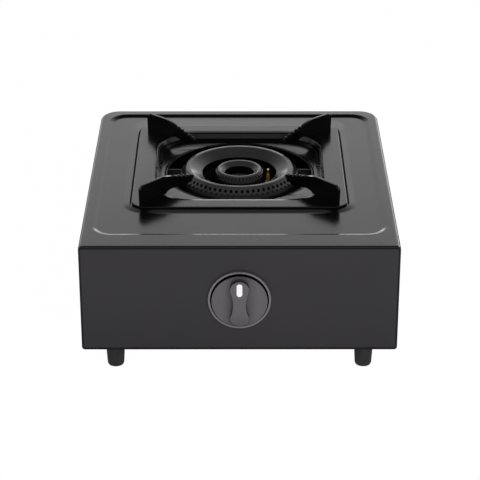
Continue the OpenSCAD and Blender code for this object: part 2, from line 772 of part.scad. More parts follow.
// Ear that carries one side of the burner under the well floor
module bracket(side) {
    inner = trough_out_r + 1;
    outer = bracket_screw_x + 5;
    low_z = lug_z + lug_t;
    color(steel) difference() {
        translate([0, burner_y + bracket_w / 2, 0]) rotate([90, 0, 0]) linear_extrude(bracket_w) polygon([
            [side * inner, low_z], [side * (joggle_x + bracket_t), low_z],
            [side * (joggle_x + bracket_t), bracket_z - bracket_t], [side * outer, bracket_z - bracket_t],
            [side * outer, bracket_z], [side * joggle_x, bracket_z],
            [side * joggle_x, low_z + bracket_t], [side * inner, low_z + bracket_t]
        ]);
        translate([0, burner_y, low_z - 1]) cylinder(r = trough_out_r + 1, h = bracket_t + 2);
        for (t = [-1, 1])
            translate([side * bracket_screw_x, burner_y + t * bracket_screw_y, bracket_z - bracket_t - 1])
                cylinder(r = hole_clear, h = bracket_t + 2);
        translate([side * lug_screw_x, burner_y, low_z - 1]) cylinder(r = hole_clear, h = bracket_t + 2);
    }
}

module bracket_left() { bracket(-1); }
module bracket_right() { bracket(1); }

module bracket_screws() {
    color(steel) for (s = [-1, 1], t = [-1, 1])
        translate([s * bracket_screw_x, burner_y + t * bracket_screw_y, bracket_z - bracket_t])
            screw(bracket_t + sheet + 1);
}

module burner_lug_screws() {
    color(steel) for (s = [-1, 1])
        translate([s * lug_screw_x, burner_y, lug_z]) screw(bracket_t + lug_t + 1);
}

// Disc with four windows and a finger tab that turns on the mouth's hub
module air_shutter(x) {
    tab_w = 7;
    tab_l = 9;
    color(steel) translate([x, mouth_y - gap, axis_z]) rotate([90, 0, 0]) linear_extrude(shutter_t) difference() {
        union() {
            circle(mouth_r - 0.5);
            translate([-tab_w / 2, -mouth_r - tab_l]) square([tab_w, mouth_r + tab_l]);
        }
        circle(hub_r + run_fit);
        for (a = [45 : 90 : 315]) rotate(a) translate([window_at, 0]) circle(window_r);
    }
}

module ring_air_shutter() { air_shutter(ring_tube_x); }
module cap_air_shutter() { air_shutter(cap_tube_x); }

// Gas valve

module valve_body() {
    ear_r = 6.5;
    color([0.7, 0.7, 0.72]) difference() {
        union() {
            back_from(0, valve_front, axis_z) linear_extrude(flange_t) {
                circle(barrel_r);
                square([2 * valve_screw_x, 2 * ear_r], center = true);
                for (s = [-1, 1]) translate([s * valve_screw_x, 0]) circle(ear_r);
            }
            back_from(0, valve_front, axis_z) cylinder(r = barrel_r, h = manifold_y - valve_front + 2);
            translate([manifold_x0, manifold_y, axis_z - manifold_h / 2])
                cube([manifold_x1 - manifold_x0, manifold_l, manifold_h]);
            for (x = [ring_tube_x, cap_tube_x])
                back_from(x, jet_seat_y - 1, axis_z) cylinder(r = jet_boss_r, h = 3);
            translate([manifold_x1 - 1, inlet_y, axis_z]) rotate([0, 90, 0])
                cylinder(r = pipe_r + 2.5, h = union_x - manifold_x1 + 1);
        }
        back_from(0, valve_front - 1, axis_z) cylinder(r = spindle_r + run_fit, h = cavity_y - valve_front + 2);
        back_from(0, cavity_y, axis_z) cylinder(r = plug_r + run_fit, h = cavity_end - cavity_y);
        for (x = [ring_tube_x, cap_tube_x])
            back_from(x, jet_seat_y - 4, axis_z) cylinder(r = jet_r, h = 8);
        translate([union_x - 12, inlet_y, axis_z]) rotate([0, 90, 0]) cylinder(r = pipe_bore, h = 13);
        for (s = [-1, 1])
            back_from(s * valve_screw_x, valve_front - 1, axis_z) cylinder(r = hole_clear, h = flange_t + 2);
    }
}

// Plug with a slot that the spindle's tongue slides in and a gas port across it
module valve_plug() {
    color(brass) difference() {
        back_from(0, plug_y, axis_z) cylinder(r = plug_r, h = plug_l);
        translate([-tongue_w / 2 - run_fit, plug_y - 1, axis_z - tongue_t / 2 - run_fit])
            cube([tongue_w + 2 * run_fit, tongue_end - plug_y + push + 2, tongue_t + 2 * run_fit]);
        translate([0, plug_y + plug_l - 3, axis_z - plug_r - 1]) cylinder(r = 1.6, h = plug_r + 1);
    }
}

module valve_spindle() {
    color(steel) {
        back_from(0, spindle_front, axis_z) cylinder(r = spindle_r, h = collar_y - spindle_front);
        back_from(0, collar_y, axis_z) cylinder(r = collar_r, h = collar_t);
        translate([-tongue_w / 2, collar_y + collar_t, axis_z - tongue_t / 2])
            cube([tongue_w, tongue_end - collar_y - collar_t, tongue_t]);
    }
}

// Wire coil between the spindle's collar and the plug
module spindle_spring() {
    from = collar_y + collar_t + spring_wire;
    to = plug_y - spring_wire;
    steps = 8 * spring_turns;
    coil = [for (i = [0 : steps]) let (a = 360 * spring_turns * i / steps)
        [spring_r * cos(a), from + (to - from) * i / steps, axis_z + spring_r * sin(a)]];
    turn_gap = (to - from) / spring_turns - 2 * spring_wire;
    echo(least_gap_between_spring_turns = turn_gap);
    color(steel) tube_along(coil, spring_wire, 6, [0, 1, 0]);
}

module valve_screws() {
    color(steel) for (s = [-1, 1]) back_from(s * valve_screw_x, 0, axis_z)
        screw(sheet + flange_t + 3, flat_head_h);
}

// Brass jet with a hexagon and a drilled nose
module gas_jet(x) {
    hex_y = jet_seat_y + 2;
    jet_hex_t = 4;
    nose = mouth_y + 1 - hex_y - jet_hex_t;
    color(brass) difference() {
        union() {
            back_from(x, jet_seat_y - 3, axis_z) cylinder(r = jet_r - run_fit, h = 5);
            back_from(x, hex_y, axis_z) cylinder(r = jet_r + 2, h = jet_hex_t, $fn = 6);
            back_from(x, hex_y + jet_hex_t, axis_z) cylinder(r1 = jet_r + 0.2, r2 = 1.8, h = nose);
        }
        back_from(x, jet_seat_y - 4, axis_z) cylinder(r = 1.4, h = hex_y + 3 - jet_seat_y + 4);
        back_from(x, jet_seat_y, axis_z) cylinder(r = 0.5, h = 20);
    }
}

module ring_gas_jet() { gas_jet(ring_tube_x); }
module cap_gas_jet() { gas_jet(cap_tube_x); }

// Straight runs and one bend, from the valve to the back wall
module gas_pipe() {
    bend_y = inlet_y + pipe_bend;
    color(steel) {
        translate([union_x, inlet_y, axis_z]) rotate([0, 90, 0]) pipe(inlet_x - pipe_bend - union_x);
        translate([inlet_x - pipe_bend, bend_y, axis_z]) rotate(-90)
            rotate_extrude(angle = 90) translate([pipe_bend, 0]) difference() {
                circle(pipe_r);
                circle(pipe_bore);
            }
        back_from(inlet_x, bend_y, axis_z) pipe(body_l - sheet - inlet_in - bend_y);
    }
}

module pipe(length) {
    difference() {
        cylinder(r = pipe_r, h = length);
        translate([0, 0, -eps]) cylinder(r = pipe_bore, h = length + 2 * eps);
    }
}

module pipe_nut() {
    color(brass) translate([union_x, inlet_y, axis_z]) rotate([0, 90, 0]) difference() {
        cylinder(r = pipe_r + 5, h = pipe_nut_l, $fn = 6);
        translate([0, 0, -1]) cylinder(r = pipe_r + run_fit, h = pipe_nut_l + 2);
    }
}

// Ribbed hose spigot that passes through the back wall
module hose_inlet() {
    rib = 5;
    color(brass) difference() {
        union() {
            back_from(inlet_x, body_l - sheet - inlet_in, axis_z) cylinder(r = inlet_thread_r, h = inlet_in + sheet);
            back_from(inlet_x, body_l, axis_z) cylinder(r = inlet_hex_r, h = inlet_hex_t, $fn = 6);
            back_from(inlet_x, body_l + inlet_hex_t, axis_z)
                cylinder(r = spigot_r, h = spigot_l - inlet_hex_t);
        }
        back_from(inlet_x, body_l - sheet - inlet_in - 1, axis_z) cylinder(r = spigot_bore, h = spigot_l + inlet_in + 3);
        for (i = [1 : 3])
            back_from(inlet_x, body_l + inlet_hex_t + i * rib, axis_z) difference() {
                cylinder(r = spigot_r + 1, h = 1.2);
                translate([0, 0, -1]) cylinder(r = spigot_r - 0.6, h = 4);
            }
    }
}

module inlet_nut() {
    color(brass) back_from(inlet_x, body_l - sheet - washer_t - inlet_hex_t, axis_z) difference() {
        cylinder(r = inlet_hex_r + 1, h = inlet_hex_t, $fn = 6);
        translate([0, 0, -1]) cylinder(r = inlet_thread_r + run_fit, h = inlet_hex_t + 2);
    }
}

module inlet_washer() {
    color([0.1, 0.1, 0.1]) back_from(inlet_x, body_l - sheet - washer_t, axis_z) difference() {
        cylinder(r = inlet_hex_r, h = washer_t);
        translate([0, 0, -1]) cylinder(r = inlet_thread_r + run_fit, h = washer_t + 2);
    }
}

// Ignition

module piezo_igniter() {
    color([0.14, 0.14, 0.15]) difference() {
        union() {
            translate([-piezo_w / 2, piezo_y0, piezo_z - 4]) cube([piezo_w, piezo_y1 - 4 - piezo_y0, piezo_h + 4]);
            back_from(0, piezo_y1 - 5, lead_z0) cylinder(r = 4, h = 5);
        }
        back_from(0, 0, axis_z) cylinder(r = barrel_r, h = piezo_y1);
        translate([-piezo_w, manifold_y - gap, axis_z]) cube([2 * piezo_w, piezo_y1, manifold_h / 2 + gap]);
    }
}

module ignition_lead() {
    color([0.75, 0.2, 0.15]) tube_along(lead_route, lead_r, 8, [1, 0, 0]);
}

module electrode_insulator() {
    low = floor_z - cast_wall;
    color([0.9, 0.88, 0.82]) translate([electrode_x, burner_y, 0]) rotate_extrude() polygon([
        [0, lead_z1], [lead_r + 0.3, lead_z1], [insulator_r + 1.4, low - 3], [insulator_r + 1.4, low],
        [insulator_r, low], [insulator_r, electrode_z], [0, electrode_z]
    ]);
}

// Stepped brass tip
module electrode_tip() {
    color(brass) translate([electrode_x, burner_y, electrode_z]) rotate_extrude() polygon([
        [0, 0], [1.8, 0], [1.8, 7], [1.3, 7.8], [0.7, 8.2], [0.7, 9.1], [1, 9.5], [1, 10.1], [0.7, 10.5],
        [0.7, 12], [1, 12.4], [1, 13.2], [0.6, 13.8], [0, 13.9]
    ]);
}

// Knob

module knob_bezel() {
    color([0.5, 0.5, 0.5]) {
        out_from(0, bezel_h) difference() {
            circle(bezel_r, $fn = 128);
            circle(bezel_r - bezel_ring, $fn = 128);
        }
        out_from(0, bezel_t) difference() {
            circle(bezel_r - bezel_ring / 2, $fn = 128);
            circle(spindle_hole_r);
            for (s = [-1, 1]) translate([s * valve_screw_x, 0]) circle(head_r + 0.5);
        }
    }
}

// Bar with round ends and a drawn-in waist whose arcs run into them
module grip_outline() {
    end_r = grip_end_w / 2;
    end_at = grip_len / 2 - end_r;
    waist_r = (pow(end_at, 2) + pow(grip_waist_w / 2, 2) - pow(end_r, 2)) / (grip_end_w - grip_waist_w);
    waist_x = grip_waist_w / 2 + waist_r;
    touch = end_r * end_at / (waist_r + end_r);
    for (s = [-1, 1]) translate([0, s * end_at]) circle(end_r);
    difference() {
        square([grip_end_w, 2 * (end_at - touch)], center = true);
        for (s = [-1, 1]) translate([s * waist_x, 0]) circle(waist_r, $fn = 256);
    }
}

// Side view of the grip, level above and rolled off towards its lower end, depth to the left
module grip_side() {
    top = -knob_out;
    translate([top + grip_roll, -grip_roll_from]) circle(grip_roll, $fn = 256);
    translate([top, -grip_roll_from]) square([2 * grip_roll, grip_len]);
}

module mark_outline() {
    translate([0, mark_top - mark_w / 2]) circle(mark_w / 2);
    translate([0, mark_top - mark_l + mark_w / 2]) circle(mark_w / 2);
    translate([-mark_w / 2, mark_top - mark_l + mark_w / 2]) square([mark_w, mark_l - mark_w]);
}

module knob_dial() {
    color(knob_grey) difference() {
        union() {
            translate([0, -dial_out + dial_t, axis_z]) rotate([90, 0, 0]) rotate_extrude($fn = 128) polygon([
                [0, 0], [dial_r, 0], [dial_r, dial_t - 0.8], [dial_r - 0.8, dial_t], [0, dial_t]
            ]);
            intersection() {
                out_from(-dial_out + eps, grip_h + eps) grip_outline();
                translate([-grip_end_w, 0, axis_z]) rotate([90, 0, 90]) linear_extrude(2 * grip_end_w) grip_side();
            }
        }
        out_from(0, -spindle_front + run_fit) circle(spindle_r + run_fit);
        out_from(-knob_out + mark_t, mark_t + 1) mark_outline();
    }
}

module knob_indicator() {
    color("white") out_from(-knob_out + mark_t, mark_t) mark_outline();
}

// Everything is set back so that the origin lies under the middle of the whole stove
module set_in_frame() { translate([0, face_y, 0]) children(); }

set_in_frame() top_panel();
set_in_frame() front_panel();
set_in_frame() body_shell();
set_in_frame() casing_screws();
set_in_frame() foot_front_left();
set_in_frame() foot_front_right();
set_in_frame() foot_rear_left();
set_in_frame() foot_rear_right();
set_in_frame() foot_screws();
set_in_frame() pan_support_frame();
set_in_frame() arm_front_left();
set_in_frame() arm_front_right();
set_in_frame() arm_rear_left();
set_in_frame() arm_rear_right();
set_in_frame() burner_casting();
set_in_frame() burner_ring();
set_in_frame() burner_centre_cap();
set_in_frame() bracket_left();
set_in_frame() bracket_right();
set_in_frame() bracket_screws();
set_in_frame() burner_lug_screws();
set_in_frame() ring_air_shutter();
set_in_frame() cap_air_shutter();
set_in_frame() ring_gas_jet();
set_in_frame() cap_gas_jet();
set_in_frame() valve_body();
set_in_frame() valve_plug();
set_in_frame() valve_spindle();
set_in_frame() spindle_spring();
set_in_frame() valve_screws();
set_in_frame() gas_pipe();
set_in_frame() pipe_nut();
set_in_frame() hose_inlet();
set_in_frame() inlet_nut();
set_in_frame() inlet_washer();
set_in_frame() piezo_igniter();
set_in_frame() ignition_lead();
set_in_frame() electrode_insulator();
set_in_frame() electrode_tip();
set_in_frame() knob_bezel();
set_in_frame() knob_dial();
set_in_frame() knob_indicator();
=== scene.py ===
import math

import bmesh
import bpy
from bpy.props import FloatProperty, FloatVectorProperty, IntProperty, PointerProperty
from mathutils import Matrix, Vector


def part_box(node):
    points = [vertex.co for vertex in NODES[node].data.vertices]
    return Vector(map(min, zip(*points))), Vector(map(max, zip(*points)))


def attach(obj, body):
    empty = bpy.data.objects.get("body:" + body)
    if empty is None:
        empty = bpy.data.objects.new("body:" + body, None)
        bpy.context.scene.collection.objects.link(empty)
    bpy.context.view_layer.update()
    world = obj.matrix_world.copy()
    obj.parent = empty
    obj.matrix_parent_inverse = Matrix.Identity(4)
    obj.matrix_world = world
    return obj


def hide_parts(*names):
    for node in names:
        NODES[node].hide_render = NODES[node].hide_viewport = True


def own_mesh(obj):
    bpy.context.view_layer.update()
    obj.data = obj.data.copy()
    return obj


bl_info = {
    "name": "Single burner gas stove",
    "version": (1, 0, 0),
    "blender": (4, 5, 0),
    "location": "3D View > Sidebar > Stove",
    "description": "Dresses the packed stove with soft bends, finishes and a studio",
    "category": "Object",
}

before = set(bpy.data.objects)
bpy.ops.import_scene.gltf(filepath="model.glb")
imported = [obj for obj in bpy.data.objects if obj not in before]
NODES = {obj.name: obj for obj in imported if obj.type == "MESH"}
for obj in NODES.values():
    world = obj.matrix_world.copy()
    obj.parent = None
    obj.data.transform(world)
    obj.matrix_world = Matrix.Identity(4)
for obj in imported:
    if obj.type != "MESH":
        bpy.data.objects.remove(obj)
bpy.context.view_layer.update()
MM = 0.001

TOP_LOW, TOP_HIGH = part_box("top_panel")
RING_LOW, RING_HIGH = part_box("burner_ring")
PAN_LOW, PAN_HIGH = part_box("pan_support_frame")
DIAL_LOW, DIAL_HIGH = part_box("knob_dial")
PANEL_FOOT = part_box("front_panel")[0].z
FACE_Y = TOP_LOW.y
BACK_Y = TOP_HIGH.y
RIM_Z = TOP_HIGH.z
HALF_W = TOP_HIGH.x
BURNER_Y = (RING_LOW.y + RING_HIGH.y) / 2
BURNER_AXIS = Vector((0.0, BURNER_Y))
AXIS_Z = (DIAL_LOW.z + DIAL_HIGH.z) / 2
CORNERS = ("front_left", "front_right", "rear_left", "rear_right")

# Points closer than the weld are one, and points within a hair of a plane lie in it
WELD = 0.002 * MM
HAIR = 0.01 * MM

# Points of the ignition lead in millimetres, y counted from the front panel's face
LEAD_ROUTE = (
    (0, 42, 100), (0, 46, 100), (8, 57, 101), (26, 72, 100), (38, 90, 96), (42, 110, 91.5), (43, 130, 82.5),
    (42, 146.3, 78.5), (38, 166.3, 76.5), (33, 181.3, 77.5), (30.3, 188.3, 80.5), (29.3, 191.3, 84.5),
    (29.3, 191.3, 86.5),
)
LEAD_RADIUS = 1.8 * MM

# Bend at the rim's outer edge: millimetres in from the edge and share of the lip's height below the rim
RIM_BEND = ((0.0, 1.0), (0.38, 0.76), (0.98, 0.49), (1.58, 0.31), (2.28, 0.155), (3.28, 0.037), (4.48, 0.0))
# Radius of the front corners at the edge and the least that the bend leaves of it, in millimetres
FRONT_CORNER, LEAST_CORNER = 2.4, 0.5
# Well in millimetres in from its mouth: mouth, both ends of the ledge, floor, flat round the hole
WELL_INSETS = (0.0, 1.5, 5.7, 9.2, 10.8)
# Run of the seat's wall and width of the flat round the burner hole, in millimetres
SEAT_WALL, HOLE_LAND = 0.8, 1.4
# Share of the sheet's thickness by which the burner hole's edge turns down
HOLE_TURN = 0.9
# Bends of the pressed top: radius in millimetres and segments
BEAD_BEND, SEAT_BEND, SEAT_FOOT = (1.5, 3), (0.7, 4), (0.4, 2)
MOUTH_BEND, LEDGE_BEND, FLOOR_BEND, HOLE_BEND = (1.0, 4), (0.7, 3), (1.0, 3), (0.8, 4)

# Camera fitted to the photograph: millimetres aside, before the face and above the rim, then degrees
CAMERA_ASIDE, CAMERA_BEFORE, CAMERA_ABOVE = -1.0, 1516.9, 732.7
CAMERA_TILT, CAMERA_TURN = 64.42, -0.056
SENSOR_WIDTH = 36.0

# Softbox and floor in metres, and how strongly the floor shows as plain white
SOFTBOX_WIDTH, SOFTBOX_DEPTH = 1.4, 1.0
SOFTBOX_PLACE, SOFTBOX_AIM = Vector((0.35, -1.6, 0.85)), Vector((0.0, 0.0, 0.1))
FLOOR_HALF = 6.0
FLOOR_GLOW, GLOW_SHARE = 1.0125, 0.98


class StoveSheetSizes(bpy.types.PropertyGroup):
    sheet: FloatProperty(
        name="Sheet", description="Thickness of the pressed top", default=1.0 * MM, unit="LENGTH")
    front_bend: FloatProperty(
        name="Front bend", description="Bend in front and behind as a share of the sides' bend", default=0.3)
    step_bend: FloatProperty(
        name="Step bend", description="Radius of the tray's step", default=1.0 * MM, unit="LENGTH")
    lip: FloatProperty(
        name="Lip", description="Height of the front lip", default=2.7 * MM, unit="LENGTH")
    skirt: FloatProperty(
        name="Skirt", description="Height of the side and rear skirt", default=12.0 * MM, unit="LENGTH")
    skirt_from: FloatProperty(
        name="Skirt start", description="Depth where the skirt starts", default=12.4 * MM, unit="LENGTH")
    rear_radius: FloatProperty(
        name="Rear corners", description="Radius of the rear corners", default=20.0 * MM, unit="LENGTH")
    rim_side: FloatProperty(
        name="Side rim", description="Width of the rim at the sides", default=10.0 * MM, unit="LENGTH")
    rim_rear: FloatProperty(
        name="Rear rim", description="Width of the rim behind", default=11.5 * MM, unit="LENGTH")
    rim_front: FloatProperty(
        name="Front rim", description="Width of the rim in front", default=26.0 * MM, unit="LENGTH")
    rear_fall: FloatProperty(
        name="Rear fall", description="Slope of the rear rim towards the back", default=0.045)
    tray_radius: FloatProperty(
        name="Tray corners", description="Corner radius of the tray", default=20.0 * MM, unit="LENGTH")
    tray_drop: FloatProperty(
        name="Tray drop", description="Drop from the rim to the tray", default=2.1 * MM, unit="LENGTH")
    tray_run: FloatProperty(
        name="Tray run", description="Run of the tray's step", default=4.8 * MM, unit="LENGTH")
    seat_gap: FloatProperty(
        name="Seat gap", description="Gap round the pan support in its seat", default=2.0 * MM, unit="LENGTH")
    seat_drop: FloatProperty(
        name="Seat depth", description="Depth of the seat below the tray", default=2.2 * MM, unit="LENGTH")
    bead_rise: FloatProperty(
        name="Bead rise", description="Rise of the tray to the seat's edge", default=1.35 * MM, unit="LENGTH")
    bead_run: FloatProperty(
        name="Bead run", description="Width of the rise round the seat", default=6.2 * MM, unit="LENGTH")
    bead_rear: FloatProperty(
        name="Rear bead", description="Width of the rise behind the seat", default=25.0 * MM, unit="LENGTH")
    well_width: FloatProperty(
        name="Well width", description="Width of the well's mouth", default=177.5 * MM, unit="LENGTH")
    well_radius: FloatProperty(
        name="Well corners", description="Corner radius of the well", default=42.2 * MM, unit="LENGTH")
    well_drop: FloatProperty(
        name="Well drop", description="Drop from the rim to the well floor", default=7.5 * MM, unit="LENGTH")
    hole_radius: FloatProperty(
        name="Burner hole", description="Radius of the burner hole", default=75.0 * MM, unit="LENGTH")
    corner_steps: IntProperty(
        name="Corner steps", description="Segments of each rounded corner", default=12, min=4, max=32)


class StoveFrameSizes(bpy.types.PropertyGroup):
    sheet: FloatProperty(
        name="Sheet", description="Thickness of the pan support's sheet", default=1.2 * MM, unit="LENGTH")
    flat: FloatProperty(
        name="Flat", description="Width of the pan support's flat", default=20.0 * MM, unit="LENGTH")
    corner: FloatProperty(
        name="Outer corners", description="Outer corner radius", default=15.0 * MM, unit="LENGTH")
    inner_corner: FloatProperty(
        name="Inner corners", description="Inner corner radius", default=40.0 * MM, unit="LENGTH")
    lean: FloatProperty(
        name="Flange lean", description="Lean of the inner flange", default=2.0 * MM, unit="LENGTH")
    fall: FloatProperty(
        name="Fall", description="Fall of the flat at its inner edge", default=0.65 * MM, unit="LENGTH")
    crown: FloatProperty(
        name="Crown", description="Width over which the flat falls", default=4.5 * MM, unit="LENGTH")
    bend: FloatProperty(
        name="Outer bend", description="Radius of the outer edge", default=0.9 * MM, unit="LENGTH")
    inner_bend: FloatProperty(
        name="Inner bend", description="Radius of the crown and inner edge", default=1.2 * MM, unit="LENGTH")
    foot_gap: FloatProperty(
        name="Foot gap", description="Gap under the frame's foot", default=0.1 * MM, unit="LENGTH")


class StoveEdgeSizes(bpy.types.PropertyGroup):
    arm: FloatProperty(
        name="Arm edges", description="Radius of the arms' edges", default=0.5 * MM, unit="LENGTH")
    foot: FloatProperty(
        name="Foot edges", description="Radius of the feet's edges", default=0.5 * MM, unit="LENGTH")
    grip: FloatProperty(
        name="Grip edges", description="Radius of the grip's upper edge", default=1.3 * MM, unit="LENGTH")
    bezel: FloatProperty(
        name="Bezel edges", description="Radius of the bezel's edges", default=0.9 * MM, unit="LENGTH")
    cast: FloatProperty(
        name="Cast edges", description="Radius of the burner's turned edges", default=0.6 * MM, unit="LENGTH")
    small: FloatProperty(
        name="Small edges", description="Radius of folds and rims", default=0.35 * MM, unit="LENGTH")


class StoveColours(bpy.types.PropertyGroup):
    enamel: FloatVectorProperty(
        name="Enamel", description="Gloss black enamel", subtype="COLOR", default=(0.0016, 0.0016, 0.0018))
    panel: FloatVectorProperty(
        name="Panel paint", description="Satin dark grey", subtype="COLOR", default=(0.0252, 0.0233, 0.0272))
    cast: FloatVectorProperty(
        name="Cast metal", description="Blackened casting", subtype="COLOR", default=(0.03, 0.029, 0.029))
    knob: FloatVectorProperty(
        name="Knob", description="Satin grey knob", subtype="COLOR", default=(0.088, 0.082, 0.088))
    bezel: FloatVectorProperty(
        name="Bezel", description="Satin grey bezel", subtype="COLOR", default=(0.2, 0.195, 0.2))
    mark: FloatVectorProperty(
        name="Indicator", description="White indicator", subtype="COLOR", default=(0.9, 0.9, 0.9))
    rubber: FloatVectorProperty(
        name="Rubber", description="Black rubber feet", subtype="COLOR", default=(0.018, 0.018, 0.019))
    zinc: FloatVectorProperty(
        name="Zinc plate", description="Plated steel", subtype="COLOR", default=(0.52, 0.53, 0.55))
    electrode: FloatVectorProperty(
        name="Electrode", description="Brass browned by heat", subtype="COLOR", default=(0.26, 0.125, 0.008))
    brass: FloatVectorProperty(
        name="Brass", description="Machined brass", subtype="COLOR", default=(0.66, 0.42, 0.12))


class StoveStudio(bpy.types.PropertyGroup):
    key: FloatProperty(
        name="Front light", description="Power of the front softbox", default=24.0, unit="POWER")
    fill: FloatProperty(
        name="Soft light", description="Level of the even light", default=0.26)
    ceiling: FloatProperty(
        name="Ceiling", description="Level of the dark ceiling in reflections", default=0.06)
    sides: FloatProperty(
        name="Side walls", description="Level of the room's sides in reflections", default=0.6)
    horizon: FloatProperty(
        name="Horizon", description="Level of the backdrop's lit foot in reflections", default=3.0)
    front: FloatProperty(
        name="Front wall", description="Level of the room in front in reflections", default=0.45)
    floor: FloatVectorProperty(
        name="Floor", description="Pale floor", subtype="COLOR", default=(0.6, 0.6, 0.6))
    lens: FloatProperty(
        name="Lens", description="Focal length in millimetres", default=136.3)


# Nodes that the finishes share


def shader(name, colour, rough, metal=0.0, ior=1.5, level=0.5):
    """A material with its constant values on the shader's own sockets, its node tree and its shader."""
    mat = bpy.data.materials.new(name)
    mat.use_nodes = True
    tree = mat.node_tree
    bsdf = tree.nodes["Principled BSDF"]
    bsdf.inputs["Base Color"].default_value = (*colour, 1.0)
    bsdf.inputs["Roughness"].default_value = rough
    bsdf.inputs["Metallic"].default_value = metal
    bsdf.inputs["IOR"].default_value = ior
    bsdf.inputs["Specular IOR Level"].default_value = level
    return mat, tree, bsdf


def place(tree, stretch=(1.0, 1.0, 1.0)):
    """Object coordinates, stretched."""
    coord = tree.nodes.new("ShaderNodeTexCoord")
    mapping = tree.nodes.new("ShaderNodeMapping")
    mapping.inputs["Scale"].default_value = stretch
    tree.links.new(coord.outputs["Object"], mapping.inputs["Vector"])
    return mapping.outputs["Vector"]


def axes(tree, vector):
    """The X, Y and Z of a vector as three values."""
    split = tree.nodes.new("ShaderNodeSeparateXYZ")
    tree.links.new(vector, split.inputs["Vector"])
    return split.outputs["X"], split.outputs["Y"], split.outputs["Z"]


def unsigned(tree, value):
    """A value without its sign, as a distance from the middle is."""
    node = tree.nodes.new("ShaderNodeMath")
    node.operation = "ABSOLUTE"
    tree.links.new(value, node.inputs[0])
    return node.outputs[0]


def grain(tree, vector, scale, detail=3.0, rough=0.55):
    tex = tree.nodes.new("ShaderNodeTexNoise")
    tex.inputs["Scale"].default_value = scale
    tex.inputs["Detail"].default_value = detail
    tex.inputs["Roughness"].default_value = rough
    tree.links.new(vector, tex.inputs["Vector"])
    return tex.outputs["Fac"]


def spread(tree, value, low, high, low_to=0.0, high_to=1.0):
    """Maps the range from low to high onto another range, and holds the value at its ends."""
    node = tree.nodes.new("ShaderNodeMapRange")
    for key, number in zip(("From Min", "From Max", "To Min", "To Max"), (low, high, low_to, high_to)):
        node.inputs[key].default_value = number
    tree.links.new(value, node.inputs["Value"])
    return node.outputs["Result"]


def combine(tree, operation, *values):
    """Joins two or more values by one operation."""
    result = values[0]
    for value in values[1:]:
        node = tree.nodes.new("ShaderNodeMath")
        node.operation = operation
        tree.links.new(result, node.inputs[0])
        tree.links.new(value, node.inputs[1])
        result = node.outputs[0]
    return result


def blend_colours(tree, factor, first, second):
    node = tree.nodes.new("ShaderNodeMix")
    node.data_type = "RGBA"
    tree.links.new(factor, node.inputs[0])
    for socket, colour in ((node.inputs[6], first), (node.inputs[7], second)):
        if hasattr(colour, "is_output"):
            tree.links.new(colour, socket)
        else:
            socket.default_value = (*colour, 1.0)
    return node.outputs[2]


def blend_shaders(tree, factor, first, second, output):
    node = tree.nodes.new("ShaderNodeMixShader")
    for source, socket in zip((factor, first.outputs[0], second.outputs[0]), node.inputs):
        tree.links.new(source, socket)
    tree.links.new(node.outputs[0], output.inputs["Surface"])


def mottle(tree, bsdf, pattern, first, second, low=0.3, high=0.7):
    """Base colour that runs from the first tone to the second as the pattern runs from low to high."""
    tint = blend_colours(tree, spread(tree, pattern, low, high), first, second)
    tree.links.new(tint, bsdf.inputs["Base Color"])


def overlay(tree, bsdf, factor, tone):
    """Lays another tone over the base colour."""
    base = bsdf.inputs["Base Color"]
    tree.links.new(blend_colours(tree, factor, base.links[0].from_socket, tone), base)


def roughen(tree, bsdf, pattern, low, high):
    """Roughness that follows the pattern from low to high."""
    tree.links.new(spread(tree, pattern, 0.3, 0.7, low, high), bsdf.inputs["Roughness"])


def relief(tree, bsdf, height, strength, depth):
    node = tree.nodes.new("ShaderNodeBump")
    node.inputs["Strength"].default_value = strength
    node.inputs["Distance"].default_value = depth
    tree.links.new(height, node.inputs["Height"])
    tree.links.new(node.outputs["Normal"], bsdf.inputs["Normal"])


def shade_of(colour, share):
    return tuple(c * share for c in colour)


def seen_rays(tree):
    """1 for rays of the camera, of reflections and of glass, 0 for the light that dull surfaces gather."""
    path = tree.nodes.new("ShaderNodeLightPath")
    rays = ("Is Camera Ray", "Is Glossy Ray", "Is Transmission Ray")
    return combine(tree, "MAXIMUM", *(path.outputs[ray] for ray in rays))


def camera_rays(tree):
    return tree.nodes.new("ShaderNodeLightPath").outputs["Is Camera Ray"]


# Finishes


def enamel_finish(colour, name="gloss_black_enamel", level=0.5):
    """Fired enamel, faintly cloudy and rippled."""
    mat, tree, bsdf = shader(name, colour, 0.18, ior=1.52, level=level)
    at = place(tree)
    cloud = grain(tree, at, 22.0, detail=4.0)
    mottle(tree, bsdf, cloud, shade_of(colour, 0.8), shade_of(colour, 1.5), 0.35, 0.65)
    roughen(tree, bsdf, cloud, 0.16, 0.21)
    relief(tree, bsdf, grain(tree, at, 260.0, detail=2.0), 0.05, 0.3 * MM)
    return mat


def raw_edge_finish(colour):
    """Thin, dull enamel on the sheet's edge."""
    mat, tree, bsdf = shader("dull_enamel_edge", shade_of(colour, 1.2), 0.6, level=0.08)
    speck = grain(tree, place(tree), 900.0)
    mottle(tree, bsdf, speck, shade_of(colour, 0.8), shade_of(colour, 1.8), 0.0, 1.0)
    relief(tree, bsdf, speck, 0.2, 0.2 * MM)
    return mat


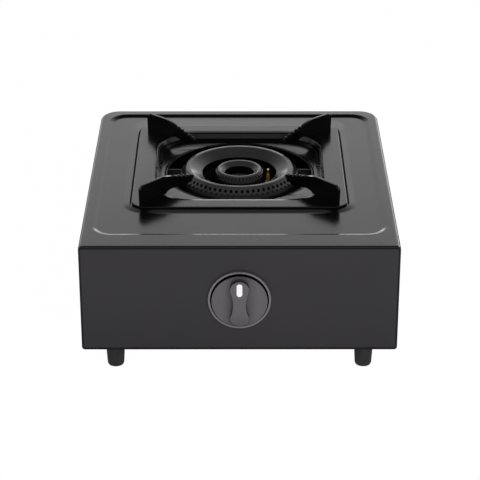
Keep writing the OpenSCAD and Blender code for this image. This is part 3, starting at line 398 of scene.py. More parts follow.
def panel_finish(colour):
    """Satin paint with a dark line of painted shade where the sheet is folded at its sides and foot."""
    mat, tree, bsdf = shader("satin_panel_paint", colour, 0.46, level=0.26)
    at = place(tree)
    mottle(tree, bsdf, grain(tree, at, 14.0, detail=4.0), shade_of(colour, 0.95), shade_of(colour, 1.06))
    across, _, height = axes(tree, at)
    # Painted shade: the folded sides and foot are darkened to a dark line in the colour
    side = spread(tree, unsigned(tree, across), HALF_W - 2.3 * MM, HALF_W - 1.6 * MM)
    low = spread(tree, height, PANEL_FOOT + 2.6 * MM, PANEL_FOOT + 1.9 * MM)
    overlay(tree, bsdf, combine(tree, "MAXIMUM", side, low), shade_of(colour, 0.08))
    fine = grain(tree, at, 1500.0, detail=2.0)
    roughen(tree, bsdf, fine, 0.42, 0.52)
    relief(tree, bsdf, fine, 0.12, 0.1 * MM)
    return mat


def cast_finish(colour):
    """Blackened casting with a fine sandy skin."""
    mat, tree, bsdf = shader("blackened_casting", colour, 0.24)
    at = place(tree)
    mottle(tree, bsdf, grain(tree, at, 60.0, detail=4.0), shade_of(colour, 0.93), shade_of(colour, 1.07))
    skin = grain(tree, at, 900.0, detail=4.0, rough=0.65)
    roughen(tree, bsdf, skin, 0.19, 0.28)
    relief(tree, bsdf, skin, 0.08, 0.25 * MM)
    return mat


def plastic_finish(name, colour, rough, level=0.5):
    """Moulded plastic, paint or soot with a fine even skin."""
    mat, tree, bsdf = shader(name, colour, rough, level=level)
    at = place(tree)
    mottle(tree, bsdf, grain(tree, at, 30.0), shade_of(colour, 0.96), shade_of(colour, 1.05))
    fine = grain(tree, at, 1800.0, detail=2.0)
    roughen(tree, bsdf, fine, rough * 0.92, min(rough * 1.1, 1.0))
    relief(tree, bsdf, fine, 0.1, 0.1 * MM)
    return mat


def knob_finish(colour, dial_y):
    """Satin plastic with painted shade on the dial beside its grip."""
    mat = plastic_finish("satin_knob_plastic", colour, 0.36)
    tree = mat.node_tree
    across, depth, _ = axes(tree, place(tree))
    # Painted shade: the dial darkens beside the grip, where shade falls
    painted_grip_shade = combine(tree, "MULTIPLY", spread(tree, unsigned(tree, across), 7 * MM, 17 * MM, 0.55, 0.0),
                   spread(tree, depth, dial_y, dial_y + 0.8 * MM))
    overlay(tree, tree.nodes["Principled BSDF"], painted_grip_shade, shade_of(colour, 0.2))
    return mat


def bracket_finish():
    """Black paint with a painted highlight as a light line along the rear edge."""
    mat = plastic_finish("black_bracket_paint", (0.004, 0.004, 0.004), 0.55, level=0.05)
    tree = mat.node_tree
    _, depth, _ = axes(tree, place(tree))
    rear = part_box("bracket_left")[1].y
    # Painted highlight: a light line along the rear edge, where the edge would catch the light
    painted_edge_highlight = spread(tree, depth, rear - 2.6 * MM, rear - 2.0 * MM)
    overlay(tree, tree.nodes["Principled BSDF"], painted_edge_highlight, (0.12, 0.12, 0.12))
    return mat


def metal_finish(name, colour, rough, stretch=(1.0, 1.0, 1.0), scale=300.0, metal=1.0):
    """Plated or machined metal with drawn marks across the stretched direction."""
    mat, tree, bsdf = shader(name, colour, rough, metal=metal)
    marks = grain(tree, place(tree, stretch), scale, detail=4.0, rough=0.6)
    mottle(tree, bsdf, marks, shade_of(colour, 0.86), colour)
    roughen(tree, bsdf, marks, rough * 0.8, min(rough * 1.3, 1.0))
    relief(tree, bsdf, marks, 0.08, 0.1 * MM)
    return mat


def rubber_finish(name, colour):
    """Matt rubber with pores and a little dirt."""
    mat, tree, bsdf = shader(name, colour, 0.62, level=0.35)
    at = place(tree)
    mottle(tree, bsdf, grain(tree, at, 90.0, detail=4.0), colour, shade_of(colour, 1.7), 0.4, 0.75)
    pores = grain(tree, at, 1300.0)
    roughen(tree, bsdf, pores, 0.55, 0.72)
    relief(tree, bsdf, pores, 0.2, 0.2 * MM)
    return mat


def ceramic_finish():
    """Pale glazed ceramic with darker specks."""
    colour = (0.78, 0.74, 0.66)
    mat, tree, bsdf = shader("glazed_ceramic", colour, 0.2)
    speck = grain(tree, place(tree), 500.0)
    mottle(tree, bsdf, speck, colour, shade_of(colour, 0.8), 0.55, 0.75)
    roughen(tree, bsdf, speck, 0.15, 0.28)
    return mat


def electrode_finish(colour):
    """Brass browned by heat, with a dark neck and a pale end."""
    mat, tree, bsdf = shader("heated_electrode_brass", colour, 0.45, metal=0.15)
    at = place(tree)
    marks = grain(tree, at, 420.0)
    mottle(tree, bsdf, marks, shade_of(colour, 0.55), shade_of(colour, 1.3), 0.35, 0.65)
    _, _, height = axes(tree, at)
    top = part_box("electrode_tip")[1].z
    neck = combine(tree, "MULTIPLY", spread(tree, height, top - 4.6 * MM, top - 3.8 * MM, 0.0, 0.9),
                   spread(tree, height, top - 2.4 * MM, top - 1.8 * MM, 1.0, 0.0))
    overlay(tree, bsdf, neck, shade_of(colour, 0.1))
    overlay(tree, bsdf, spread(tree, height, top - 1.9 * MM, top - 1.4 * MM), (0.85, 0.66, 0.46))
    roughen(tree, bsdf, marks, 0.35, 0.55)
    return mat


# Shapes


def outline(width, y0, y1, z, front_r, back_r, steps):
    """Points of a rounded rectangle at height z, with its own radius in front and behind."""
    scratch = bmesh.new()
    quad = bmesh.ops.create_grid(scratch, x_segments=1, y_segments=1, size=0.5)["verts"]
    bmesh.ops.scale(scratch, vec=(width, y1 - y0, 1.0), verts=quad)
    bmesh.ops.translate(scratch, vec=(0.0, (y0 + y1) / 2, z), verts=quad)
    front = [v for v in quad if v.co.y < (y0 + y1) / 2]
    back = [v for v in quad if v.co.y > (y0 + y1) / 2]
    for corner, radius in ((front, front_r), (back, back_r)):
        bmesh.ops.bevel(scratch, geom=corner, offset=radius, offset_type="OFFSET", segments=steps,
                        profile=0.5, affect="VERTICES", material=-1)
    scratch.faces.ensure_lookup_table()
    points = [v.co.copy() for v in scratch.faces[0].verts]
    scratch.free()
    return points


def square(width, z, radius, steps):
    """Points of a rounded square round the burner axis."""
    return outline(width, BURNER_Y - width / 2, BURNER_Y + width / 2, z, radius, radius, steps)


def first_loop(mesh, points):
    verts = [mesh.verts.new(p) for p in points]
    return [mesh.edges.new((a, b)) for a, b in zip(verts, verts[1:] + verts[:1])]


def draw_on(mesh, edges, here, there):
    """Extrudes a loop of edges and moves it from one outline to the next."""
    grown = bmesh.ops.extrude_edge_only(mesh, edges=edges)["geom"]
    verts = {g for g in grown if isinstance(g, bmesh.types.BMVert)}
    for vert in verts:
        vert.co = there[min(range(len(here)), key=lambda i: (here[i] - vert.co).length_squared)]
    return [g for g in grown if isinstance(g, bmesh.types.BMEdge) and all(v in verts for v in g.verts)]


def loft(mesh, outlines):
    """Sheet drawn through outlines of equal count; returns the loop of edges on each of them."""
    loops = [first_loop(mesh, outlines[0])]
    for here, there in zip(outlines, outlines[1:]):
        loops.append(draw_on(mesh, loops[-1], here, there))
    return loops


def circle(mesh, radius, z, steps):
    """Edges of a circle round the burner axis."""
    old = set(mesh.edges)
    verts = bmesh.ops.create_circle(mesh, cap_ends=False, segments=steps, radius=radius)["verts"]
    bmesh.ops.translate(mesh, vec=(0.0, BURNER_Y, z), verts=verts)
    return [e for e in mesh.edges if e not in old]


def soften(mesh, edges, radius, segments):
    """Rounds edges to a radius."""
    bmesh.ops.bevel(mesh, geom=edges, offset=radius, offset_type="OFFSET", segments=segments, profile=0.5,
                    affect="EDGES", clamp_overlap=True, material=-1)


def merged_copy(node):
    """A CAD node's triangles as one closed mesh with its flat faces whole."""
    mesh = bmesh.new()
    mesh.from_mesh(NODES[node].data)
    bmesh.ops.remove_doubles(mesh, verts=mesh.verts, dist=WELD)
    bmesh.ops.dissolve_limit(mesh, angle_limit=math.radians(0.6), verts=mesh.verts, edges=mesh.edges)
    return mesh


def creases(mesh, degrees, chosen=None):
    """Edges bent by more than an angle, all of them or the chosen ones."""
    limit = math.radians(degrees)
    return [e for e in mesh.edges
            if len(e.link_faces) == 2 and e.calc_face_angle(0.0) > limit and (chosen is None or chosen(e))]


def give_finish(mesh, index, chosen):
    """Gives the chosen faces the finish of that number."""
    for face in mesh.faces:
        if chosen(face):
            face.material_index = index


def finished(mesh, name, body, nodes, materials, degrees):
    """Turns a bmesh into a piece that rides on its body and stands for its CAD nodes."""
    data = bpy.data.meshes.new(name)
    mesh.to_mesh(data)
    mesh.free()
    for material in materials:
        data.materials.append(material)
    data.shade_smooth()
    data.set_sharp_from_angle(angle=math.radians(degrees))
    piece = bpy.data.objects.new(name, data)
    bpy.context.scene.collection.objects.link(piece)
    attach(piece, body)
    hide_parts(*nodes)
    return piece


def even_normals(piece):
    modifier = piece.modifiers.new("even_normals", "WEIGHTED_NORMAL")
    modifier.keep_sharp = True
    modifier.weight = 100


def turned_normals(piece):
    """Gives turned faces true round normals, ports and bores the second finish, a painted shade, and the rim
    the third, a painted highlight.
    """
    data = piece.data
    rim_low = max(v.co.z for v in data.vertices) - 0.7 * MM
    rim_slope, bore_slope = 0.7, 0.5
    least_lean, least_radius = 0.02, 1.0 * MM
    radial = math.cos(math.radians(6.0))
    normals = [n.vector.copy() for n in data.corner_normals]
    for face in data.polygons:
        if face.normal.z > rim_slope and min(data.vertices[v].co.z for v in face.vertices) > rim_low:
            face.material_index = 2
        out = face.normal.xy
        middle = face.center.xy - BURNER_AXIS
        if out.length < least_lean or middle.length < least_radius:
            continue
        side = 1.0 if out.dot(middle) > 0 else -1.0
        if out.normalized().dot(middle.normalized()) * side < radial:
            face.material_index = 1
            continue
        if side < 0 and face.normal.z < bore_slope:
            face.material_index = 1
        for loop in face.loop_indices:
            corner = data.vertices[data.loops[loop].vertex_index].co.xy
            spoke = (corner - BURNER_AXIS).normalized() * side
            normals[loop] = Vector((*(spoke * out.length), face.normal.z))
    data.normals_split_custom_set(normals)


def thicken(piece, thickness):
    modifier = piece.modifiers.new("sheet", "SOLIDIFY")
    modifier.thickness = thickness
    modifier.offset = -1.0
    modifier.use_even_offset = True


def paint(names, material):
    """Gives CAD nodes that keep their own mesh a finish."""
    for name in names:
        data = NODES[name].data
        data.materials.clear()
        data.materials.append(material)


def face_up(mesh):
    """Points an open sheet's faces outwards, judged by its highest level face."""
    bmesh.ops.recalc_face_normals(mesh, faces=mesh.faces)
    level = max(mesh.faces, key=lambda f: (round(f.calc_center_median().z, 5), f.calc_area()))
    if level.normal.z < 0:
        bmesh.ops.reverse_faces(mesh, faces=mesh.faces)


def pressed_levels(size):
    """Heights of the tray, the seat, the well's ledge and its floor."""
    seat_drop = size.tray_drop + size.seat_drop
    drops = (size.tray_drop, seat_drop, (seat_drop + size.well_drop) / 2, size.well_drop)
    return [RIM_Z - drop for drop in drops]


# Pieces


class STOVE_OT_top_panel(bpy.types.Operator):
    """Pressed enamel top: rim, tray, seat, stepped well, skirt and front lip"""

    bl_idname = "stove.top_panel"
    bl_label = "Pressed top"

    def execute(self, context):
        size = context.scene.stove_sheet
        enamel = context.scene.stove_colours.enamel
        mesh = bmesh.new()
        self.press(mesh, size)
        self.draw_skirt(mesh, size)
        self.share_finishes(mesh, size)
        self.slope_rear_rim(mesh, size)
        # The third finish is painted shade: enamel that reflects less on the well's slopes
        finishes = [enamel_finish(enamel), raw_edge_finish(enamel),
                    enamel_finish(enamel, "well_enamel_painted_shade", 0.25)]
        piece = finished(mesh, "enamel_top", "chassis", ["top_panel"], finishes, 40.0)
        thicken(piece, size.sheet)
        even_normals(piece)
        return {"FINISHED"}

    def press(self, mesh, size):
        """Draws the sheet from its edge in to the well's floor, cuts the burner hole and rounds all bends."""
        tray, seat, ledge, deep = pressed_levels(size)
        steps, run, tray_r = size.corner_steps, size.tray_run, size.tray_radius
        y0, y1 = FACE_Y + size.rim_front, BACK_Y - size.rim_rear
        width = 2 * HALF_W
        tray_w = width - 2 * size.rim_side
        seat_w = PAN_HIGH.x - PAN_LOW.x + 2 * size.seat_gap
        seat_r = bpy.context.scene.stove_frame.corner + size.seat_gap
        bead_r = seat_r + size.bead_run
        rim = [
            outline(width - 2 * inset * MM, FACE_Y + size.front_bend * inset * MM,
                    BACK_Y - size.front_bend * inset * MM, RIM_Z - fall * size.lip,
                    max(FRONT_CORNER - inset, LEAST_CORNER) * MM, size.rear_radius - inset * MM, steps)
            for inset, fall in RIM_BEND]
        well = [
            square(size.well_width - 2 * inset * MM, level, size.well_radius - inset * MM, steps)
            for inset, level in zip(WELL_INSETS, (seat, ledge, ledge, deep, deep))]
        loops = loft(mesh, [
            *rim,
            outline(tray_w, y0, y1, RIM_Z, tray_r, tray_r, steps),
            outline(tray_w - 2 * run, y0 + run, y1 - run, tray, tray_r - run, tray_r - run, steps),
            outline(seat_w + 2 * size.bead_run, BURNER_Y - seat_w / 2 - size.bead_run,
                    BURNER_Y + seat_w / 2 + size.bead_rear, tray, bead_r, bead_r, steps),
            square(seat_w, tray + size.bead_rise, seat_r, steps),
            square(seat_w - 2 * SEAT_WALL * MM, seat, seat_r - SEAT_WALL * MM, steps),
            *well,
        ])
        tray_top, tray_low, bead, seat_top, seat_low, mouth, slope, step, floor, apron = loops[len(rim):]
        turned, edge, land = [circle(mesh, radius, z, 12 * steps) for radius, z in (
            (size.hole_radius, deep - HOLE_TURN * size.sheet), (size.hole_radius, deep),
            (size.hole_radius + HOLE_LAND * MM, deep))]
        for lower, upper in ((turned, edge), (edge, land)):
            bmesh.ops.bridge_loops(mesh, edges=lower + upper)
        bmesh.ops.triangle_fill(mesh, use_beauty=False, use_dissolve=False, edges=apron + land)
        open_r = size.hole_radius - 10 * HAIR
        over_hole = [f for f in mesh.faces if (f.calc_center_median().xy - BURNER_AXIS).length < open_r]
        bmesh.ops.delete(mesh, geom=over_hole, context="FACES")
        face_up(mesh)
        soften(mesh, tray_top + tray_low, size.step_bend, 4)
        for edges, (radius, segments) in (
                (bead, BEAD_BEND), (seat_top, SEAT_BEND), (seat_low, SEAT_FOOT), (mouth, MOUTH_BEND),
                (slope + step, LEDGE_BEND), (floor, FLOOR_BEND), (edge, HOLE_BEND)):
            soften(mesh, edges, radius * MM, segments)

    def draw_skirt(self, mesh, size):
        """Draws the edge down to the skirt's height at the sides and back, behind the front lip."""
        cut = FACE_Y + size.skirt_from
        bmesh.ops.bisect_plane(mesh, geom=[*mesh.verts, *mesh.edges, *mesh.faces], dist=0.1 * HAIR,
                               plane_co=(0.0, cut, 0.0), plane_no=(0.0, 1.0, 0.0))
        low = RIM_Z - size.lip
        hem = [e for e in mesh.edges if e.is_boundary
               and all(abs(v.co.z - low) < HAIR and v.co.y > cut - HAIR for v in e.verts)]
        drawn = bmesh.ops.extrude_edge_only(mesh, edges=hem)["geom"]
        bmesh.ops.translate(mesh, vec=(0.0, 0.0, size.lip - size.skirt),
                            verts=[v for v in drawn if isinstance(v, bmesh.types.BMVert)])

    def share_finishes(self, mesh, size):
        """Dull edge on the front lip and low on the other bends, and painted shade on the well's slopes,
        where the enamel reflects less.
        """
        _, seat, _, deep = pressed_levels(size)
        lip_face, lip_top = FACE_Y + 0.2 * MM, RIM_Z - 0.8 * MM
        bend_in, bend_top = 1.2 * MM, RIM_Z - 1.3 * MM
        clear = 0.1 * MM

        def dull_edge(face):
            at = face.calc_center_median()
            outside = abs(at.x) > HALF_W - bend_in or at.y > BACK_Y - bend_in
            return at.y < lip_face and at.z < lip_top or outside and RIM_Z - size.lip < at.z < bend_top

        def well_slope(face):
            at = face.calc_center_median()
            reach = max(abs(at.x), abs(at.y - BURNER_Y))
            return reach < size.well_width / 2 and deep + clear < at.z < seat - clear

        give_finish(mesh, 1, dull_edge)
        give_finish(mesh, 2, well_slope)

    def slope_rear_rim(self, mesh, size):
        tray_back = BACK_Y - size.rim_rear
        for vert in mesh.verts:
            if vert.co.y > tray_back:
                vert.co.z -= (vert.co.y - tray_back) * size.rear_fall


class STOVE_OT_casing(bpy.types.Operator):
    """Front panel and body shell with soft folds, and all the stove's screws"""

    bl_idname = "stove.casing"
    bl_label = "Casing"

    def execute(self, context):
        colours = context.scene.stove_colours
        edge = context.scene.stove_edges
        # The second finish is painted shade: faces that look into the body are darkened
        finishes = [panel_finish(colours.panel),
                    plastic_finish("inside_painted_shade", shade_of(colours.panel, 0.2), 0.7, 0.05)]

        def looks_inwards(face):
            middle = face.calc_center_median().xy
            return face.normal.xy.dot(middle) < -0.5 * middle.length

        for node, name in (("front_panel", "painted_front"), ("body_shell", "painted_shell")):
            mesh = merged_copy(node)
            soften(mesh, creases(mesh, 40.0), edge.small, 2)
            give_finish(mesh, 1, looks_inwards)
            even_normals(finished(mesh, name, "chassis", [node], finishes, 40.0))
        zinc = metal_finish("zinc_plate", colours.zinc, 0.32)
        paint(["casing_screws", "foot_screws", "burner_lug_screws", "valve_screws"], zinc)
        paint(["bracket_screws"], plastic_finish("black_plated_steel", (0.006, 0.006, 0.007), 0.4, 0.3))
        return {"FINISHED"}


class STOVE_OT_feet(bpy.types.Operator):
    """Four tapered rubber feet"""

    bl_idname = "stove.feet"
    bl_label = "Feet"

    def execute(self, context):
        rubber = rubber_finish("black_foot_rubber", context.scene.stove_colours.rubber)
        for corner in CORNERS:
            node = "foot_" + corner
            mesh = merged_copy(node)
            soften(mesh, creases(mesh, 25.0), context.scene.stove_edges.foot, 3)
            even_normals(finished(mesh, "rubber_" + node, "chassis", [node], [rubber], 35.0))
        return {"FINISHED"}


class STOVE_OT_pan_support(bpy.types.Operator):
    """Pressed pan support frame and its four toothed arms"""

    bl_idname = "stove.pan_support"
    bl_label = "Pan support"

    def execute(self, context):
        colour = context.scene.stove_colours.enamel
        gloss = enamel_finish(colour)
        mesh = self.pressed_frame(context.scene)
        piece = finished(mesh, "enamel_frame", "pan_support", ["pan_support_frame"], [gloss], 40.0)
        even_normals(piece)
        finishes = [enamel_finish(colour, "black_arm_enamel", 0.12), gloss]
        for corner in CORNERS:
            node = "arm_" + corner
            mesh = merged_copy(node)
            soften(mesh, creases(mesh, 50.0), context.scene.stove_edges.arm, 3)
            give_finish(mesh, 1, lambda face: face.normal.z > 0.35)
            even_normals(finished(mesh, "enamel_" + node, "pan_support", [node], finishes, 40.0))
        return {"FINISHED"}

    def pressed_frame(self, scene):
        """Outer wall, flat with its fall, leaning flange and the inner side, drawn round in one sheet."""
        size, steps = scene.stove_frame, scene.stove_sheet.corner_steps
        sheet, lean, corner, turn = size.sheet, size.lean, size.corner, size.inner_corner
        outer = PAN_HIGH.x - PAN_LOW.x
        inner = outer - 2 * size.flat
        top, low = PAN_HIGH.z, PAN_LOW.z
        foot = pressed_levels(scene.stove_sheet)[1] + size.foot_gap
        mesh = bmesh.new()
        loops = loft(mesh, [square(width, z, radius, steps) for width, z, radius in (
            (outer, foot, corner), (outer, top, corner),
            (inner + 2 * size.crown, top, turn + size.crown), (inner, top - size.fall, turn),
            (inner - 2 * lean, low, turn - lean), (inner - 2 * lean + 2 * sheet, low, turn - lean + sheet),
            (inner + 2 * sheet, top - sheet, turn + sheet), (outer - 2 * sheet, top - sheet, corner - sheet),
            (outer - 2 * sheet, foot, corner - sheet), (outer, foot, corner))])
        outer_edge, crown, inner_edge = loops[1:4]
        soften(mesh, outer_edge, size.bend, 5)
        soften(mesh, crown, size.inner_bend, 3)
        soften(mesh, inner_edge, size.inner_bend, 6)
        bmesh.ops.remove_doubles(mesh, verts=mesh.verts, dist=WELD)
        bmesh.ops.recalc_face_normals(mesh, faces=mesh.faces)
        return mesh


class STOVE_OT_burner(bpy.types.Operator):
    """Ported ring, centre cap, casting, brackets and air shutters"""

    bl_idname = "stove.burner"
    bl_label = "Burner"

    def execute(self, context):
        colours = context.scene.stove_colours
        edge = context.scene.stove_edges
        # Painted shade makes the ports and bores near black; a painted highlight makes the rim lighter and
        # glossier
        finishes = [cast_finish(colours.cast), plastic_finish("port_painted_shade", (0.001, 0.001, 0.001), 0.8, 0.02),
                    plastic_finish("rim_painted_highlight", shade_of(colours.cast, 1.3), 0.24, 0.8)]
        for node, body in (("burner_ring", "burner_ring"), ("burner_centre_cap", "centre_cap")):
            mesh = merged_copy(node)
            soften(mesh, creases(mesh, 24.0, self.round_rim(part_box(node)[1].z)), edge.cast, 3)
            turned_normals(finished(mesh, "cast_" + node, body, [node], finishes, 30.0))
        # The casting is given a quarter of the cast colour and little reflection
        paint(["burner_casting"], plastic_finish("darkened_casting", shade_of(colours.cast, 0.25), 0.5, 0.1))
        paint(["bracket_left", "bracket_right"], bracket_finish())
        zinc = metal_finish("zinc_sheet", colours.zinc, 0.3, (1.0, 12.0, 1.0))
        paint(["ring_air_shutter", "cap_air_shutter"], zinc)
        return {"FINISHED"}

    def round_rim(self, top):
        """Tells whether an edge runs level round the burner axis, close below the top."""
        rim_low = top - 1.2 * MM

        def on_rim(e):
            a, b = (v.co for v in e.verts)
            radii = [(v.co.xy - BURNER_AXIS).length for v in e.verts]
            return min(a.z, b.z) > rim_low and abs(a.z - b.z) < HAIR and abs(radii[0] - radii[1]) < 2 * HAIR

        return on_rim


class STOVE_OT_knob(bpy.types.Operator):
    """Bezel, dial with its grip, and the white indicator"""

    bl_idname = "stove.knob"
    bl_label = "Knob"

    def execute(self, context):
        colours = context.scene.stove_colours
        edge = context.scene.stove_edges
        dial_r = (DIAL_HIGH.x - DIAL_LOW.x) / 2
        # Painted shadow: the dial's side and the bezel's inner wall are near black, where the gap lies in
        # shade
        dark = plastic_finish("painted_gap_shadow", (0.0006, 0.0006, 0.0006), 0.8, 0.0)
        self.dial(colours, edge, dial_r, dark)
        ring = metal_finish("satin_bezel_metal", colours.bezel, 0.36, metal=0.7)
        mesh = merged_copy("knob_bezel")
        soften(mesh, creases(mesh, 40.0), edge.bezel, 4)
        give_finish(mesh, 1, lambda face: all(self.reach(v) < dial_r + 1.0 * MM for v in face.verts))
        piece = finished(mesh, "knob_ring", "chassis", ["knob_bezel"], [ring, dark], 35.0)
        even_normals(piece)
        paint(["knob_indicator"], plastic_finish("white_indicator", colours.mark, 0.35))
        return {"FINISHED"}

    def reach(self, vert):
        """Distance from the knob's axis."""
        return math.hypot(vert.co.x, vert.co.z - AXIS_Z)

    def dial(self, colours, edge, dial_r, dark):
        """Dial and grip with rounded edges, with painted shade round its side and on the grip's walls."""
        grip_top = DIAL_LOW.y
        grip_low, grip_shade_from, wall_low = grip_top + 4.5 * MM, grip_top + 5.5 * MM, grip_top + 6.4 * MM
        skirt_r = dial_r - 0.5 * MM
        mark_low, mark_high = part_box("knob_indicator")
        clear = 0.3 * MM

        def around_mark(e):
            return all(abs(v.co.x) < mark_high.x + clear and mark_low.z - clear < v.co.z < mark_high.z + clear
                       for v in e.verts)

        def on_grip(e):
            return all(v.co.y < grip_low for v in e.verts) and not around_mark(e)

        def skirt(face):
            return abs(face.normal.y) < 0.6 and all(self.reach(v) > skirt_r for v in face.verts)

        def grip_wall(face):
            return abs(face.normal.y) < 0.5 and face.calc_center_median().y < wall_low and not skirt(face)

        mesh = merged_copy("knob_dial")
        soften(mesh, creases(mesh, 30.0, on_grip), edge.grip, 5)
        soften(mesh, creases(mesh, 40.0, lambda e: all(v.co.y > grip_low for v in e.verts)), edge.small, 3)
        give_finish(mesh, 1, skirt)
        give_finish(mesh, 2, grip_wall)
        # The grip's walls get painted shade, the knob colour at four tenths
        finishes = [knob_finish(colours.knob, grip_shade_from), dark,
                    plastic_finish("grip_wall_painted_shade", shade_of(colours.knob, 0.4), 0.6, 0.1)]
        even_normals(finished(mesh, "knob_body", "knob", ["knob_dial"], finishes, 35.0))


class STOVE_OT_gas_train(bpy.types.Operator):
    """Valve, spindle, jets, gas pipe and hose inlet"""

    bl_idname = "stove.gas_train"
    bl_label = "Gas train"

    def execute(self, context):
        colours = context.scene.stove_colours
        brass = metal_finish("machined_brass", colours.brass, 0.26, (1.0, 8.0, 1.0), 420.0)
        paint(["ring_gas_jet", "cap_gas_jet", "valve_plug", "pipe_nut", "hose_inlet", "inlet_nut"], brass)
        paint(["valve_body"], metal_finish("die_cast_alloy", (0.5, 0.5, 0.52), 0.48, scale=700.0))
        zinc = metal_finish("zinc_tube", colours.zinc, 0.28, (6.0, 1.0, 6.0))
        paint(["gas_pipe", "valve_spindle"], zinc)
        paint(["inlet_washer"], rubber_finish("gasket_rubber", (0.02, 0.02, 0.02)))
        self.spring(metal_finish("spring_steel", colours.zinc, 0.22))
        return {"FINISHED"}

    def spring(self, steel):
        """Coil round the spindle, which shortens as the knob is pushed."""
        wire, turns, turn_steps, wire_sides = 0.6 * MM, 3.5, 40, 10
        low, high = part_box("spindle_spring")
        mean = (high.x - low.x) / 2 - wire
        steps = int(turns * turn_steps)
        mesh = bmesh.new()
        ring = bmesh.ops.create_circle(mesh, cap_ends=True, segments=wire_sides, radius=wire)["verts"]
        for axis in "XZ":
            quarter = Matrix.Rotation(math.pi / 2, 3, axis)
            bmesh.ops.rotate(mesh, cent=(0.0, 0.0, 0.0), matrix=quarter, verts=ring)
        bmesh.ops.translate(mesh, vec=(0.0, low.y + wire, AXIS_Z + mean), verts=ring)
        pitch = (high.y - low.y - 2 * wire) / steps
        bmesh.ops.spin(mesh, geom=[*mesh.verts, *mesh.edges, *mesh.faces], cent=(0.0, 0.0, AXIS_Z),
                       axis=(0.0, 1.0, 0.0), dvec=(0.0, pitch, 0.0), angle=turns * 2 * math.pi,
                       steps=steps, use_duplicate=False, use_merge=False)
        bmesh.ops.recalc_face_normals(mesh, faces=mesh.faces)
        spring = finished(mesh, "spindle_coil", "valve_plug", ["spindle_spring"], [steel], 32.0)
        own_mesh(spring)


class STOVE_OT_ignition(bpy.types.Operator):
    """Igniter, its lead and the electrode"""

    bl_idname = "stove.ignition"
    bl_label = "Ignition"

    def execute(self, context):
        colours = context.scene.stove_colours
        paint(["piezo_igniter"], plastic_finish("black_igniter_plastic", (0.02, 0.02, 0.022), 0.5))
        paint(["electrode_insulator"], ceramic_finish())
        paint(["electrode_tip"], electrode_finish(colours.electrode))
        self.lead(rubber_finish("red_lead_sleeve", (0.36, 0.035, 0.02)))
        return {"FINISHED"}

    def lead(self, sleeve):
        """Lead from the igniter under the burner to the electrode, through the points of its CAD route."""
        route = [Vector((x, FACE_Y / MM + y, z)) * MM for x, y, z in LEAD_ROUTE]
        data = bpy.data.curves.new("ignition_wire", "CURVE")
        data.dimensions = "3D"
        data.bevel_depth = LEAD_RADIUS
        data.bevel_resolution = 4
        data.resolution_u = 8
        data.use_fill_caps = True
        line = data.splines.new("BEZIER")
        line.bezier_points.add(len(route) - 1)
        for knot, point in zip(line.bezier_points, route):
            knot.co = point
            knot.handle_left_type = knot.handle_right_type = "AUTO"
        data.materials.append(sleeve)
        wire = bpy.data.objects.new("ignition_wire", data)
        bpy.context.scene.collection.objects.link(wire)
        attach(wire, "chassis")
        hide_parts("ignition_lead")


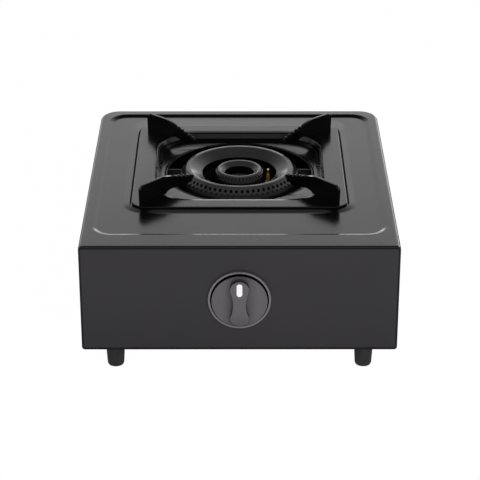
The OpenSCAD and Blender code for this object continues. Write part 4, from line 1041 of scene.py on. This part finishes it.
class STOVE_OT_stage(bpy.types.Operator):
    """Pale floor, soft studio light and the camera"""

    bl_idname = "stove.stage"
    bl_label = "Stage"

    def execute(self, context):
        scene = context.scene
        studio = scene.stove_studio
        scene.view_settings.view_transform = "Standard"
        self.floor(scene, studio)
        self.surround(scene, studio)
        self.softbox(scene, studio)
        self.camera(scene, studio)
        return {"FINISHED"}

    def floor(self, scene, studio):
        mesh = bmesh.new()
        bmesh.ops.create_grid(mesh, x_segments=2, y_segments=2, size=FLOOR_HALF)
        data = bpy.data.meshes.new("floor")
        mesh.to_mesh(data)
        mesh.free()
        floor = bpy.data.objects.new("floor", data)
        scene.collection.objects.link(floor)
        mat, tree, bsdf = shader("pale_floor", studio.floor, 0.9, level=0.0)
        glow = tree.nodes.new("ShaderNodeEmission")
        glow.inputs["Color"].default_value = (1.0, 1.0, 1.0, 1.0)
        glow.inputs["Strength"].default_value = FLOOR_GLOW
        seen = combine(tree, "MULTIPLY", seen_rays(tree), self.clear_of_shade(tree))
        share = spread(tree, seen, 0.0, 1.0, 0.0, GLOW_SHARE)
        blend_shaders(tree, share, bsdf, glow, tree.nodes["Material Output"])
        data.materials.append(mat)

    def clear_of_shade(self, tree):
        """0 on the floor under the body and, for reflections, low just in front of it; 1 for all else."""
        across, depth, _ = axes(tree, place(tree))
        aside = unsigned(tree, across)
        ahead = combine(tree, "MAXIMUM", spread(tree, depth, FACE_Y - 0.12, FACE_Y - 0.045, 1.0, 0.2),
                        spread(tree, aside, HALF_W, HALF_W + 0.05), camera_rays(tree))
        under = combine(tree, "MAXIMUM", spread(tree, depth, FACE_Y + 0.05, FACE_Y + 0.1, 1.0, 0.0),
                        spread(tree, depth, BACK_Y - 0.03, BACK_Y),
                        spread(tree, aside, HALF_W - 0.03, HALF_W))
        return combine(tree, "MULTIPLY", ahead, under)

    def surround(self, scene, studio):
        """White to the camera, even light to dull surfaces, and to reflections a room with a dark ceiling."""
        world = bpy.data.worlds.new("studio")
        scene.world = world
        world.use_nodes = True
        tree = world.node_tree
        tree.nodes.clear()
        out = tree.nodes.new("ShaderNodeOutputWorld")
        even, room = (tree.nodes.new("ShaderNodeBackground") for _ in range(2))
        for light in (even, room):
            light.inputs["Color"].default_value = (1.0, 1.0, 1.0, 1.0)
        even.inputs["Strength"].default_value = studio.fill
        coord = tree.nodes.new("ShaderNodeTexCoord")
        # Parts of the ray's direction: 1 is straight to the right, to the back and up
        across, ahead, height = axes(tree, coord.outputs["Generated"])
        wall = combine(tree, "MULTIPLY", spread(tree, height, 0.36, 0.80, 1.2, studio.ceiling),
                       spread(tree, height, 0.22, 0.36, 0.7, 1.0))
        foot = combine(tree, "MULTIPLY", spread(tree, height, 0.08, 0.22, studio.horizon, 0.0),
                       spread(tree, across, -0.45, -0.1, 0.8, 1.0))
        back_wall = combine(tree, "MULTIPLY", combine(tree, "MAXIMUM", wall, foot),
                            spread(tree, across, -0.5, -0.15, 0.55, 1.0),
                            spread(tree, ahead, 0.1, 0.6, 0.08, 1.0))
        side_wall = combine(tree, "MULTIPLY", spread(tree, height, 0.3, 0.7, studio.sides, studio.ceiling),
                            spread(tree, unsigned(tree, across), 0.55, 0.8))
        front_wall = combine(tree, "MULTIPLY", spread(tree, height, 0.2, 0.9, studio.front, studio.ceiling),
                             spread(tree, ahead, -0.1, -0.5))
        level = combine(tree, "MAXIMUM", back_wall, side_wall, front_wall, camera_rays(tree))
        tree.links.new(level, room.inputs["Strength"])
        blend_shaders(tree, seen_rays(tree), even, room, out)

    def softbox(self, scene, studio):
        lamp = bpy.data.lights.new("front_softbox", "AREA")
        lamp.shape = "RECTANGLE"
        lamp.size, lamp.size_y = SOFTBOX_WIDTH, SOFTBOX_DEPTH
        lamp.energy = studio.key
        box = bpy.data.objects.new("front_softbox", lamp)
        box.location = SOFTBOX_PLACE
        box.rotation_euler = (SOFTBOX_AIM - SOFTBOX_PLACE).to_track_quat("-Z", "Y").to_euler()
        box.visible_glossy = False
        scene.collection.objects.link(box)

    def camera(self, scene, studio):
        data = bpy.data.cameras.new("camera")
        data.lens = studio.lens
        data.sensor_width = SENSOR_WIDTH
        camera = bpy.data.objects.new("camera", data)
        camera.location = (CAMERA_ASIDE * MM, FACE_Y - CAMERA_BEFORE * MM, RIM_Z + CAMERA_ABOVE * MM)
        camera.rotation_euler = (math.radians(CAMERA_TILT), 0.0, math.radians(CAMERA_TURN))
        scene.collection.objects.link(camera)
        scene.camera = camera


class STOVE_PT_panel(bpy.types.Panel):
    bl_label = "Stove"
    bl_idname = "STOVE_PT_panel"
    bl_space_type = "VIEW_3D"
    bl_region_type = "UI"
    bl_category = "Stove"

    def draw(self, context):
        column = self.layout.column()
        for operator in OPERATORS:
            column.operator(operator.bl_idname)


GROUPS = {
    "stove_sheet": StoveSheetSizes,
    "stove_frame": StoveFrameSizes,
    "stove_edges": StoveEdgeSizes,
    "stove_colours": StoveColours,
    "stove_studio": StoveStudio,
}
OPERATORS = (
    STOVE_OT_top_panel, STOVE_OT_casing, STOVE_OT_feet, STOVE_OT_pan_support, STOVE_OT_burner,
    STOVE_OT_knob, STOVE_OT_gas_train, STOVE_OT_ignition, STOVE_OT_stage,
)


def register():
    for name, group in GROUPS.items():
        bpy.utils.register_class(group)
        setattr(bpy.types.Scene, name, PointerProperty(type=group))
    for operator in OPERATORS:
        bpy.utils.register_class(operator)
    bpy.utils.register_class(STOVE_PT_panel)


def unregister():
    bpy.utils.unregister_class(STOVE_PT_panel)
    for operator in reversed(OPERATORS):
        bpy.utils.unregister_class(operator)
    for name, group in reversed(GROUPS.items()):
        delattr(bpy.types.Scene, name)
        bpy.utils.unregister_class(group)


def main():
    register()
    bpy.ops.stove.top_panel()
    bpy.ops.stove.casing()
    bpy.ops.stove.feet()
    bpy.ops.stove.pan_support()
    bpy.ops.stove.burner()
    bpy.ops.stove.knob()
    bpy.ops.stove.gas_train()
    bpy.ops.stove.ignition()
    bpy.ops.stove.stage()


if __name__ == "__main__":
    main()
